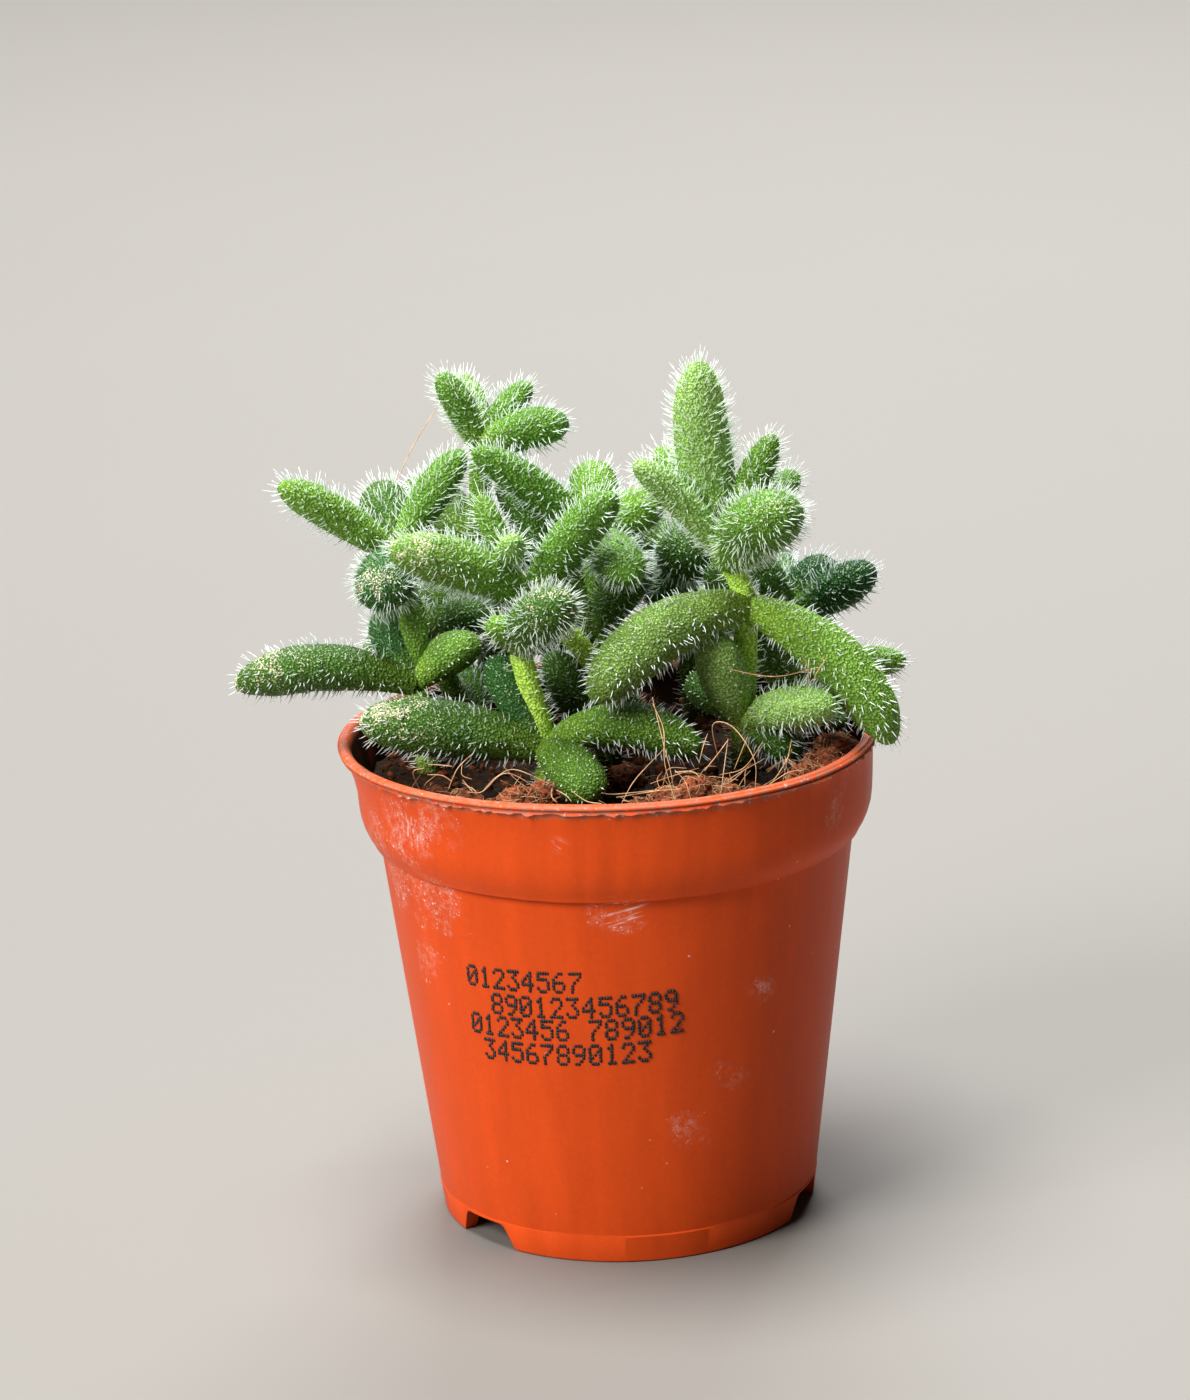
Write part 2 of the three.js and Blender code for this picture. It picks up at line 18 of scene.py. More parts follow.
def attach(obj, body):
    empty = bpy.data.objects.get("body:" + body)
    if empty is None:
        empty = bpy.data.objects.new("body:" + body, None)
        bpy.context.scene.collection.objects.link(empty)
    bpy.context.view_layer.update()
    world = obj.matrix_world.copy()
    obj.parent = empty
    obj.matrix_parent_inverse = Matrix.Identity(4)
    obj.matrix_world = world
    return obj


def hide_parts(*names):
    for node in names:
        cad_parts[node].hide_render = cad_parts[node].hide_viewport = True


MM = 0.001
POT_AXIS = np.array((3.5, -3.3, 0.0))
GOLDEN_ANGLE = math.pi * (3 - math.sqrt(5))
SEED = 29
Colour = tuple[float, float, float]
Point = tuple[float, float, float]

LOG = logging.getLogger("pickle_plant")
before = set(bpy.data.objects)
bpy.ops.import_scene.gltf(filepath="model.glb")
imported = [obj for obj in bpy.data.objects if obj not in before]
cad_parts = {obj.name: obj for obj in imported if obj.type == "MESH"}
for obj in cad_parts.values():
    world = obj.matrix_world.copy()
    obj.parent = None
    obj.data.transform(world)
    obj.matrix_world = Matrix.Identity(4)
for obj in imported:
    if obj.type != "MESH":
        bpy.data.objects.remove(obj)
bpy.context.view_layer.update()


# Small tools


def smooth_step(low: float, high: float, value: np.ndarray) -> np.ndarray:
    """Rises smoothly from 0 at low to 1 at high.

    Args:
        low: Where the rise starts.
        high: Where it ends. It may lie below low, for a fall.
        value: The numbers to map.

    Returns:
        The mapped numbers, from 0 to 1.
    """
    share = np.clip((np.asarray(value, float) - low) / (high - low), 0, 1)
    return share * share * (3 - 2 * share)


def unit(vectors: np.ndarray) -> np.ndarray:
    """Returns the vectors at length one."""
    length = np.linalg.norm(vectors, axis=-1, keepdims=True)
    return vectors / np.maximum(length, 1e-9)


def blend(
    first: np.ndarray, second: np.ndarray, share: np.ndarray | float
) -> np.ndarray:
    """Mixes two colours: only the first at share 1, only the second at share 0."""
    return first * share + second * (1 - share)


def rough(points: np.ndarray, size: float, octaves: int = 3, shift: float = 0.0) -> np.ndarray:
    """Gives fractal noise of about -1 to 1 at each point.

    Args:
        points: Places in millimetres.
        size: The noise's broadest feature, in millimetres.
        octaves: How many finer layers it has.
        shift: Moves the pattern, so that two calls differ.

    Returns:
        One number for each point.
    """
    offset = Vector((shift, shift * 0.7, -shift))
    return np.array(
        [noise.fractal(Vector(p) / size + offset, 1.0, 2.0, octaves) for p in points]
    )


def add_primitive(kind: str, **settings: object) -> bpy.types.Object:
    """Adds one of Blender's mesh primitives with nothing else selected.

    Args:
        kind: The primitive's name, such as "circle".
        **settings: The operator's own settings.

    Returns:
        The new object, which is active and selected.
    """
    bpy.ops.object.select_all(action="DESELECT")
    getattr(bpy.ops.mesh, f"primitive_{kind}_add")(**settings)
    return bpy.context.active_object


def make_active(piece: bpy.types.Object) -> None:
    """Selects one object alone and makes it active."""
    bpy.ops.object.select_all(action="DESELECT")
    piece.select_set(True)
    bpy.context.view_layer.objects.active = piece


def extrude_rings(
    section: Sequence[tuple[float, float]],
    centre: tuple[float, float] = (0.0, 0.0),
    scale: float = 1.0,
) -> None:
    """Extrudes the selected ring of a mesh in edit mode up through a round section.

    Args:
        section: Radii and heights, from the selected ring on.
        centre: The axis, in Blender's units.
        scale: How many of Blender's units one unit of the section is.
    """
    radius, height = section[0]
    for next_radius, next_height in section[1:]:
        lift = (0, 0, (next_height - height) * scale)
        bpy.ops.mesh.extrude_region_move(TRANSFORM_OT_translate={"value": lift})
        factor = next_radius / radius
        bpy.ops.transform.resize(
            value=(factor, factor, 1), center_override=(*centre, next_height * scale)
        )
        radius, height = next_radius, next_height


def face_outwards() -> None:
    """Turns all faces of the mesh in edit mode outwards, and leaves edit mode."""
    bpy.ops.mesh.select_all(action="SELECT")
    bpy.ops.mesh.normals_make_consistent(inside=False)
    bpy.ops.object.mode_set(mode="OBJECT")


def raise_rings(profile: Sequence[tuple[float, float]], segments: int) -> bpy.types.Object:
    """Raises a closed round wall from a disc, ring by ring, as by hand.

    Args:
        profile: The section as radii and heights. The first and the last ring stay filled.
        segments: How many sides each ring has.

    Returns:
        The wall, about the pot's axis.
    """
    axis_x, axis_y, _ = POT_AXIS * MM
    radius, height = profile[0]
    wall = add_primitive(
        "circle",
        vertices=segments,
        radius=radius * MM,
        fill_type="NGON",
        location=(axis_x, axis_y, height * MM),
    )
    bpy.ops.object.transform_apply(location=True, rotation=True, scale=True)
    bpy.ops.object.mode_set(mode="EDIT")
    bpy.ops.mesh.select_mode(type="FACE")
    bpy.ops.mesh.select_all(action="SELECT")
    extrude_rings(profile, (axis_x, axis_y), MM)
    face_outwards()
    return wall


def points_of(piece: bpy.types.Object) -> np.ndarray:
    """Reads a mesh's points, in millimetres from the pot's axis."""
    flat = np.zeros(len(piece.data.vertices) * 3)
    piece.data.vertices.foreach_get("co", flat)
    return flat.reshape(-1, 3) / MM - POT_AXIS


def set_points(piece: bpy.types.Object, points: np.ndarray) -> None:
    """Writes a mesh's points, given in millimetres from the pot's axis."""
    piece.data.vertices.foreach_set("co", ((points + POT_AXIS) * MM).ravel())
    piece.data.update()


def apply_modifiers(piece: bpy.types.Object) -> None:
    """Applies every modifier of an object, in order."""
    make_active(piece)
    for modifier in list(piece.modifiers):
        bpy.ops.object.modifier_apply(modifier=modifier.name)


def hand_over(piece: bpy.types.Object, slot: str, *nodes: str) -> bpy.types.Object:
    """Lets a finished piece ride on the part and stand for its solids.

    Args:
        piece: The finished piece.
        slot: The record's material slot; not used.
        *nodes: The solids that it replaces, if any.

    Returns:
        The same piece.
    """
    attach(piece, "root")
    if nodes:
        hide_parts(*nodes)
    triangles = sum(len(face.vertices) - 2 for face in piece.data.polygons)
    LOG.info("%s: %d triangles, stands for %s", piece.name, triangles, ", ".join(nodes) or "-")
    return piece


@dataclass(frozen=True)
class Pattern:
    """A small mesh that is modelled once and copied in code."""

    points: np.ndarray
    triangles: np.ndarray

    @classmethod
    def take(cls, piece: bpy.types.Object) -> "Pattern":
        """Reads a modelled object as triangles, and removes it.

        Args:
            piece: The modelled object.

        Returns:
            Its points and triangles, in the object's own units.
        """
        make_active(piece)
        bpy.ops.object.mode_set(mode="EDIT")
        bpy.ops.mesh.select_all(action="SELECT")
        bpy.ops.mesh.quads_convert_to_tris()
        bpy.ops.object.mode_set(mode="OBJECT")
        points = np.array([vertex.co for vertex in piece.data.vertices])
        triangles = np.array([face.vertices for face in piece.data.polygons])
        mesh = piece.data
        bpy.data.objects.remove(piece)
        bpy.data.meshes.remove(mesh)
        return cls(points, triangles)


class MeshBatch:
    """Gathers copies of patterns and joins them in one mesh."""

    def __init__(self) -> None:
        """Starts empty."""
        self.points: list[np.ndarray] = []
        self.triangles: list[np.ndarray] = []
        self.materials: list[np.ndarray] = []
        self.tones: list[np.ndarray] = []
        self.crusts: list[np.ndarray] = []
        self.count = 0

    def add(
        self,
        points: np.ndarray,
        triangles: np.ndarray,
        tone: np.ndarray | Colour = (1, 1, 1),
        crust: np.ndarray | float = 0.0,
        material: int = 0,
    ) -> None:
        """Adds one copy.

        Args:
            points: Its points, in millimetres from the pot's axis.
            triangles: Its faces, as numbers of its own points.
            tone: Its colour, for the whole copy or for each point.
            crust: How much residue it carries, for the whole copy or for each point.
            material: The number of its material.
        """
        count = len(points)
        self.points.append(points)
        self.triangles.append(triangles + self.count)
        self.materials.append(np.full(len(triangles), material))
        self.tones.append(np.broadcast_to(np.asarray(tone, float), (count, 3)))
        self.crusts.append(np.broadcast_to(np.asarray(crust, float), (count,)))
        self.count += count

    def build(self, name: str, *materials: bpy.types.Material) -> bpy.types.Object:
        """Makes the object.

        Args:
            name: The piece's name.
            *materials: Its materials, in the order of their numbers.

        Returns:
            The new object, smooth-shaded, at the origin.
        """
        points = (np.concatenate(self.points) + POT_AXIS) * MM
        triangles = np.concatenate(self.triangles)
        mesh = bpy.data.meshes.new(name)
        mesh.vertices.add(len(points))
        mesh.vertices.foreach_set("co", points.ravel())
        mesh.loops.add(triangles.size)
        mesh.loops.foreach_set("vertex_index", triangles.ravel())
        mesh.polygons.add(len(triangles))
        mesh.polygons.foreach_set("loop_start", np.arange(0, triangles.size, 3))
        mesh.polygons.foreach_set("material_index", np.concatenate(self.materials))
        mesh.polygons.foreach_set("use_smooth", np.ones(len(triangles), bool))
        tones = np.concatenate(self.tones)
        colour = mesh.attributes.new("tone", "FLOAT_COLOR", "POINT")
        colour.data.foreach_set("color", np.c_[tones, np.ones(len(tones))].ravel())
        crust = mesh.attributes.new("crust", "FLOAT", "POINT")
        crust.data.foreach_set("value", np.concatenate(self.crusts))
        mesh.update(calc_edges=True)
        mesh.validate()
        piece = bpy.data.objects.new(name, mesh)
        bpy.context.scene.collection.objects.link(piece)
        for material in materials:
            mesh.materials.append(material)
        return piece


# Finishes


class NodeBench:
    """Places and joins the nodes of one tree."""

    def __init__(self, tree: bpy.types.NodeTree) -> None:
        """Takes the tree to work on."""
        self.tree = tree

    def put(
        self, kind: str, inputs: dict[str | int, object] | None = None, **settings: object
    ) -> bpy.types.Node:
        """Adds a node.

        Args:
            kind: The node's type, without "ShaderNode".
            inputs: Its input sockets by name or number, each a value or a socket to join.
            **settings: The node's own settings.

        Returns:
            The new node.
        """
        node = self.tree.nodes.new(kind if kind.startswith("Node") else "ShaderNode" + kind)
        for key, value in settings.items():
            setattr(node, key, value)
        return self.feed(node, inputs or {})

    def feed(self, node: bpy.types.Node, inputs: dict[str | int, object]) -> bpy.types.Node:
        """Sets or joins a node's input sockets.

        Args:
            node: The node.
            inputs: Its sockets by name or number, each a value or a socket to join.

        Returns:
            The same node.
        """
        for key, value in inputs.items():
            if isinstance(value, bpy.types.NodeSocket):
                self.tree.links.new(value, node.inputs[key])
            elif node.inputs[key].type == "RGBA":
                node.inputs[key].default_value = (*value, 1.0)
            else:
                node.inputs[key].default_value = value
        return node

    def place(self) -> bpy.types.NodeSocket:
        """Returns where a point lies on its object."""
        return self.put("TexCoord").outputs["Object"]

    def painted(self, name: str, output: str) -> bpy.types.NodeSocket:
        """Reads an attribute that the mesh carries."""
        return self.put("Attribute", attribute_name=name).outputs[output]

    def cloud(
        self, place: bpy.types.NodeSocket, scale: object, detail: float, **inputs: float
    ) -> bpy.types.NodeSocket:
        """Adds fractal noise and returns its brightness."""
        given = {"Vector": place, "Scale": scale, "Detail": detail, **inputs}
        return self.put("TexNoise", given).outputs[0]

    def cells(
        self, place: bpy.types.NodeSocket, scale: object, **inputs: float
    ) -> tuple[bpy.types.NodeSocket, Sequence[bpy.types.NodeSocket]]:
        """Adds round cells, and returns how far their centres are and each cell's three lots."""
        given = {"Vector": place, "Scale": scale, **inputs}
        found = self.put("TexVoronoi", given, feature="F1").outputs
        return found["Distance"], self.put("SeparateColor", {0: found["Color"]}).outputs

    def maths(self, operation: str, *values: object) -> bpy.types.NodeSocket:
        """Adds a Math node and returns its output."""
        return self.put("Math", dict(enumerate(values)), operation=operation).outputs[0]

    def vector(self, operation: str, *values: object) -> bpy.types.Node:
        """Adds a Vector Math node."""
        return self.put("VectorMath", dict(enumerate(values)), operation=operation)

    def times(self, first: object, second: object) -> bpy.types.NodeSocket:
        """Multiplies two numbers and returns the result."""
        return self.maths("MULTIPLY", first, second)

    def mix(self, factor: object, first: object, second: object) -> bpy.types.NodeSocket:
        """Mixes two colours and returns the result."""
        return self.put("Mix", {0: factor, 6: first, 7: second}, data_type="RGBA").outputs[2]

    def multiply(self, first: object, second: object) -> bpy.types.NodeSocket:
        """Multiplies two colours and returns the result."""
        colours = {0: 1.0, 6: first, 7: second}
        return self.put("Mix", colours, data_type="RGBA", blend_type="MULTIPLY").outputs[2]

    def shaded(self, colour: object, shade: object) -> bpy.types.NodeSocket:
        """Multiplies a colour by one number and returns the result."""
        grey = self.put("CombineColor", {0: shade, 1: shade, 2: shade}).outputs[0]
        return self.multiply(colour, grey)

    def span(
        self, value: object, low: float, high: float, start: float = 0.0, end: float = 1.0
    ) -> bpy.types.NodeSocket:
        """Maps low to high onto start to end, clamped, and returns the result."""
        inputs = {0: value, 1: low, 2: high, 3: start, 4: end}
        return self.put("MapRange", inputs, interpolation_type="SMOOTHSTEP").outputs[0]

    def use(self, group: bpy.types.NodeTree, inputs: dict[str, object]) -> bpy.types.Node:
        """Places a shared group."""
        return self.feed(self.put("Group", node_tree=group), inputs)


def shared_group(
    name: str, inputs: dict[str, str], outputs: dict[str, str]
) -> tuple[bpy.types.NodeTree, NodeBench, bpy.types.Node, bpy.types.Node]:
    """Starts a node group that several materials share.

    Args:
        name: The group's name.
        inputs: Its input sockets, name to type.
        outputs: Its output sockets, name to type.

    Returns:
        The group, a bench for it, its input node and its output node.
    """
    group = bpy.data.node_groups.new(name, "ShaderNodeTree")
    for key, kind in inputs.items():
        group.interface.new_socket(key, in_out="INPUT", socket_type="NodeSocket" + kind)
    for key, kind in outputs.items():
        group.interface.new_socket(key, in_out="OUTPUT", socket_type="NodeSocket" + kind)
    bench = NodeBench(group)
    return group, bench, bench.put("NodeGroupInput"), bench.put("NodeGroupOutput")


def papillae_group() -> bpy.types.NodeTree:
    """Makes the fine swollen cells that cover the skin of leaves and stems: their height, which also
    sets painted shade, and the painted glints on them.
    """
    group, bench, given, result = shared_group(
        "papillae",
        {"Scale": "Float", "Residue": "Float"},
        {"Height": "Float", "Glint": "Float", "Flakes": "Float"},
    )
    place = bench.place()
    scale = given.outputs["Scale"]
    wander = bench.put("TexNoise", {"Vector": place, "Scale": 900.0, "Detail": 2.0})
    drift = bench.vector("SCALE", wander.outputs["Color"])
    drift.inputs["Scale"].default_value = 0.00012
    moved = bench.vector("ADD", place, drift.outputs[0]).outputs[0]
    far, lots = bench.cells(moved, scale, Randomness=0.9)
    dot = bench.span(far, 0.36, 0.12)
    crowd = bench.cloud(place, 520.0, 3.0)
    dot = bench.times(dot, bench.span(crowd, 0.35, 0.62, 0.45, 1.0))
    glint = bench.times(bench.span(lots[0], 0.1, 1.0), dot)
    middle, chance = bench.cells(moved, bench.times(scale, 1.7))
    low = bench.maths("SUBTRACT", given.outputs["Residue"], 0.06)
    taken = bench.maths("LESS_THAN", chance[1], low)
    reach = bench.span(chance[2], 0.0, 1.0, 0.35, 0.75)
    flake = bench.maths("LESS_THAN", middle, reach)
    flake = bench.times(flake, bench.span(chance[0], 0.0, 1.0, 0.4, 0.95))
    flakes = bench.times(taken, flake)
    height = bench.span(far, 0.8, 0.2)
    bench.feed(result, {"Height": height, "Glint": glint, "Flakes": flakes})
    return group


def mottle_group() -> bpy.types.NodeTree:
    """Makes broad and fine unevenness of a colour."""
    group, bench, given, result = shared_group(
        "mottle", {"Scale": "Float", "Strength": "Float"}, {"Shade": "Float"}
    )
    place = bench.place()
    cloud = bench.cloud(place, given.outputs["Scale"], 5.0, Roughness=0.6)
    swing = bench.maths("SUBTRACT", cloud, 0.5)
    swing = bench.times(swing, given.outputs["Strength"])
    bench.feed(result, {"Shade": bench.maths("ADD", swing, 1.0)})
    return group


def dust_group() -> bpy.types.NodeTree:
    """Makes a patch of pale dust: grains in clumps over a thin haze, fewer towards its edge."""
    names = {"Position": "Vector", "Centre": "Vector", "Radius": "Float", "Grain": "Float"}
    names["Amount"] = "Float"
    group, bench, given, result = shared_group("settled_dust", names, {"Mask": "Float"})
    place = given.outputs["Position"]
    far = bench.vector("DISTANCE", place, given.outputs["Centre"]).outputs["Value"]
    warp = bench.cloud(place, 330.0, 3.0)
    far = bench.maths("DIVIDE", far, given.outputs["Radius"])
    swing = bench.maths("SUBTRACT", warp, 0.5)
    near = bench.span(bench.maths("MULTIPLY_ADD", swing, 2.4, far), 1.0, 0.0)
    clump = bench.span(bench.cloud(place, 1150.0, 3.0, Roughness=0.7), 0.36, 0.72)
    crowd = bench.times(near, clump)
    mask = bench.times(crowd, 0.3)
    for finer, share in ((1.0, 0.3), (2.1, 0.55)):
        scale = bench.times(given.outputs["Grain"], finer)
        far, lots = bench.cells(place, scale)
        taken = bench.maths("LESS_THAN", lots[0], bench.times(crowd, share))
        reach = bench.span(lots[1], 0.0, 1.0, 0.2, 0.55)
        grain = bench.maths("LESS_THAN", far, reach)
        bright = bench.span(lots[2], 0.0, 1.0, 0.25, 0.85)
        grain = bench.times(bench.times(grain, taken), bright)
        mask = bench.maths("MAXIMUM", mask, grain)
    bench.feed(result, {"Mask": bench.times(mask, given.outputs["Amount"])})
    return group


@dataclass(frozen=True)
class SharedEffects:
    """The node groups that several finishes place with their own values."""

    papillae: bpy.types.NodeTree = field(default_factory=papillae_group)
    mottle: bpy.types.NodeTree = field(default_factory=mottle_group)
    dust: bpy.types.NodeTree = field(default_factory=dust_group)

    def uneven(self, bench: NodeBench, scale: float, strength: float) -> bpy.types.NodeSocket:
        """Places the mottle group and returns its shade."""
        return bench.use(self.mottle, {"Scale": scale, "Strength": strength}).outputs[0]


def start_material(name: str) -> tuple[bpy.types.Material, NodeBench, bpy.types.Node]:
    """Starts a material.

    Args:
        name: The material's name.

    Returns:
        The material, a bench for its tree, and its Principled shader.
    """
    material = bpy.data.materials.new(name)
    material.use_nodes = True
    shader = material.node_tree.nodes["Principled BSDF"]
    return material, NodeBench(material.node_tree), shader


@dataclass(frozen=True)
class LeafSkin:
    """The glistening, granular skin of leaves and stems: painted glints on its cells, painted shade
    between them.
    """

    name: str = "leaf_skin"
    cell_mm: float = 0.28
    dewy: Colour = (0.60, 0.84, 0.42)
    residue: Colour = (0.84, 0.77, 0.55)

    def build(self, effects: SharedEffects) -> bpy.types.Material:
        """Makes the material.

        Args:
            effects: The shared node groups.

        Returns:
            The leaf skin.
        """
        material, bench, shader = start_material(self.name)
        tone = bench.painted("tone", "Color")
        crust = bench.painted("crust", "Fac")
        reach = effects.uneven(bench, 620.0, 4.0)
        residue = bench.times(crust, bench.span(reach, 0.6, 1.25))
        given = {"Scale": 1 / (self.cell_mm * MM), "Residue": residue}
        cells = bench.use(effects.papillae, given).outputs
        shade = effects.uneven(bench, 260.0, 0.7)
        # Painted light and shade: each cell lighter on its top and darker in the gaps between cells.
        lit = bench.times(shade, bench.span(cells["Height"], 0.0, 1.0, 0.6, 1.22))
        colour = bench.shaded(tone, lit)
        # Painted glints: pale dots on some of the cells.
        glint = bench.times(cells["Glint"], 0.7)
        colour = bench.mix(glint, colour, self.dewy)
        stain = effects.uneven(bench, 3300.0, 0.9)
        colour = bench.mix(cells["Flakes"], colour, bench.shaded(self.residue, stain))
        relief = bench.maths("ADD", cells["Height"], cells["Flakes"])
        bump = bench.put("Bump", {"Height": relief, "Strength": 1.0, "Distance": 0.00012})
        gloss = bench.span(cells["Height"], 0.2, 1.0, 0.6, 0.34)
        gloss = bench.maths("MULTIPLY_ADD", cells["Flakes"], 0.4, gloss)
        bench.feed(
            shader,
            {
                "Base Color": colour,
                "Roughness": gloss,
                "Normal": bump.outputs[0],
                "Subsurface Weight": 0.18,
                "Subsurface Radius": (0.4, 1.0, 0.2),
                "Subsurface Scale": 0.0009,
                "Specular IOR Level": 0.18,
            },
        )
        return material


@dataclass(frozen=True)
class BristleFinish:
    """The white, half-clear stuff of the bristles."""

    name: str = "bristle_white"
    roughness: float = 0.32

    def build(self, effects: SharedEffects) -> bpy.types.Material:
        """Makes the material.

        Args:
            effects: The shared node groups.

        Returns:
            The bristles' finish.
        """
        material, bench, shader = start_material(self.name)
        tone = bench.painted("tone", "Color")
        shade = effects.uneven(bench, 420.0, 0.35)
        bench.feed(
            shader,
            {
                "Base Color": bench.shaded(tone, shade),
                "Roughness": self.roughness,
                "Subsurface Weight": 0.35,
                "Subsurface Radius": (1.0, 1.0, 1.0),
                "Subsurface Scale": 0.0006,
            },
        )
        return material


@dataclass(frozen=True)
class DustPatch:
    """One place on the pot where dust or scuffs lie."""

    centre: Point
    radius: float
    amount: float
    grain: float = 3400.0


@dataclass(frozen=True)
class RubbedStrokes:
    """Pale strokes where something rubbed the pot: their place, reach and slope in radians."""

    centre: Point
    radius: float
    slope: float
    amount: float


@dataclass(frozen=True)
class PotPlastic:
    """Thin moulded plastic, satin, with the marks of handling."""

    name: str = "pot_plastic"
    body: Colour = (0.66, 0.071, 0.009)
    worn: Colour = (0.40, 0.115, 0.062)
    dust: Colour = (0.82, 0.72, 0.66)
    # Painted shade: the near-black colour of the inner wall below the rim.
    soiled: Colour = (0.02, 0.009, 0.005)
    lip_from: float = 50.5
    lip_to: float = 50.8
    soiled_below: float = 51.6
    soiled_full: float = 50.7
    patches: tuple[DustPatch, ...] = (
        DustPatch((-23.2, -9.5, 39.2), 4.6, 0.8),
        DustPatch((-19.5, -15.4, 38.4), 5.4, 0.85),
        DustPatch((-17.6, -17.6, 40.0), 3.2, 0.65, 4200.0),
        DustPatch((-21.5, -16.0, 46.0), 4.8, 0.85),
        DustPatch((-25.0, -10.0, 44.4), 4.6, 0.6),
        DustPatch((-18.6, -19.3, 48.8), 3.6, 0.75, 4200.0),
        DustPatch((0.4, -24.8, 40.1), 2.4, 1.0, 2800.0),
        DustPatch((-1.8, -24.6, 39.6), 2.2, 0.7, 4200.0),
        DustPatch((14.5, -18.4, 28.9), 2.1, 0.9),
        DustPatch((6.4, -20.7, 14.8), 2.8, 0.7, 4600.0),
        DustPatch((11.0, -20.5, 20.5), 2.4, 0.45, 4600.0),
        DustPatch((-20.3, -12.2, 31.3), 3.4, 0.5),
        DustPatch((22.0, -14.5, 47.0), 3.4, 0.5, 4600.0),
        DustPatch((-18.5, 17.6, 43.0), 4.2, 0.6),
        DustPatch((9.0, 21.4, 26.0), 3.2, 0.6, 4200.0),
        DustPatch((22.6, 10.5, 37.0), 3.6, 0.5, 4600.0),
    )
    strokes: tuple[RubbedStrokes, ...] = (
        RubbedStrokes((0.4, -24.8, 40.2), 3.0, -0.25, 0.65),
        RubbedStrokes((-5.9, -26.3, 47.9), 1.2, 0.55, 0.14),
        RubbedStrokes((-20.5, -17.0, 47.0), 2.6, -1.2, 0.45),
        RubbedStrokes((3.0, 24.8, 40.2), 2.4, 0.3, 0.5),
    )

    def rubbed(
        self, bench: NodeBench, place: bpy.types.NodeSocket, rub: RubbedStrokes
    ) -> bpy.types.NodeSocket:
        """Masks a few thin strokes that lie side by side.

        Args:
            bench: The material's bench.
            place: Where on the pot.
            rub: The strokes.

        Returns:
            How much of their colour shows.
        """
        centre = tuple(value * MM for value in rub.centre)
        far = bench.vector("DISTANCE", place, centre).outputs["Value"]
        near = bench.span(far, rub.radius * MM, rub.radius * MM * 0.25)
        lay = {"Vector": place, "Rotation": (0.0, rub.slope, 0.0), "Scale": (9.0, 1.0, 1.0)}
        turned = bench.put("Mapping", lay, vector_type="TEXTURE").outputs[0]
        lines = bench.cloud(turned, 2400.0, 3.0)
        return bench.times(near, bench.span(lines, 0.5, 0.6, 0.0, rub.amount))

    def build(self, effects: SharedEffects) -> bpy.types.Material:
        """Makes the material.

        Args:
            effects: The shared node groups.

        Returns:
            The pot's plastic.
        """
        material, bench, shader = start_material(self.name)
        place = bench.place()
        shift = {"Vector": place, "Location": tuple(-POT_AXIS * MM)}
        place = bench.put("Mapping", shift).outputs[0]
        z = bench.put("SeparateXYZ", {0: place}).outputs[2]
        shade = effects.uneven(bench, 55.0, 0.28)
        fine = effects.uneven(bench, 1900.0, 0.22)
        shade = bench.times(shade, fine)
        drawn = bench.put("Mapping", {"Vector": place, "Scale": (1.0, 1.0, 0.05)}).outputs[0]
        streaks = bench.cloud(drawn, 420.0, 3.0)
        shade = bench.times(shade, bench.span(streaks, 0.25, 0.75, 0.94, 1.06))
        colour = bench.shaded(self.body, shade)
        flash = bench.cloud(place, 1100.0, 4.0)
        lip = bench.span(z, self.lip_from * MM, self.lip_to * MM)
        lip = bench.times(lip, bench.span(flash, 0.36, 0.6, 0.25, 1.0))
        colour = bench.mix(lip, colour, self.worn)
        grit = bench.cloud(place, 2600.0, 5.0)
        high = bench.span(z, (self.lip_from - 0.1) * MM, self.lip_to * MM)
        chips = bench.times(bench.span(grit, 0.6, 0.72), high)
        colour = bench.mix(bench.times(chips, 0.35), colour, self.dust)
        far, lots = bench.cells(place, 480.0)
        speck = bench.span(far, 0.085, 0.03)
        speck = bench.times(speck, bench.span(lots[1], 0.72, 0.8, 0.0, 0.55))
        colour = bench.mix(speck, colour, self.dust)
        mask: object = 0.0
        for patch in self.patches:
            inputs = {
                "Position": place,
                "Centre": tuple(value * MM for value in patch.centre),
                "Radius": patch.radius * MM,
                "Grain": patch.grain,
                "Amount": patch.amount,
            }
            here = bench.use(effects.dust, inputs).outputs[0]
            mask = bench.maths("MAXIMUM", mask, here)
        for rub in self.strokes:
            mask = bench.maths("MAXIMUM", mask, self.rubbed(bench, place, rub))
        colour = bench.mix(mask, colour, self.dust)
        # Painted shade: the inner wall darkens nearly to black below the rim, broken up by noise.
        inner = bench.painted("inner", "Fac")
        low = bench.span(z, self.soiled_below * MM, self.soiled_full * MM)
        inner = bench.times(inner, low)
        grime = bench.cloud(place, 260.0, 6.0)
        inner = bench.times(inner, bench.span(grime, 0.2, 0.5, 0.7, 1.0))
        colour = bench.mix(inner, colour, self.soiled)
        relief = bench.maths("ADD", bench.times(streaks, 0.6), fine)
        relief = bench.maths("ADD", relief, bench.times(mask, 0.7))
        bump = bench.put("Bump", {"Height": relief, "Strength": 0.12, "Distance": 0.0001})
        gloss = bench.maths("MULTIPLY_ADD", mask, 0.3, bench.span(streaks, 0.2, 0.8, 0.38, 0.48))
        bench.feed(
            shader,
            {
                "Base Color": colour,
                "Roughness": gloss,
                "Normal": bump.outputs[0],
                "Specular IOR Level": 0.1,
            },
        )
        return material


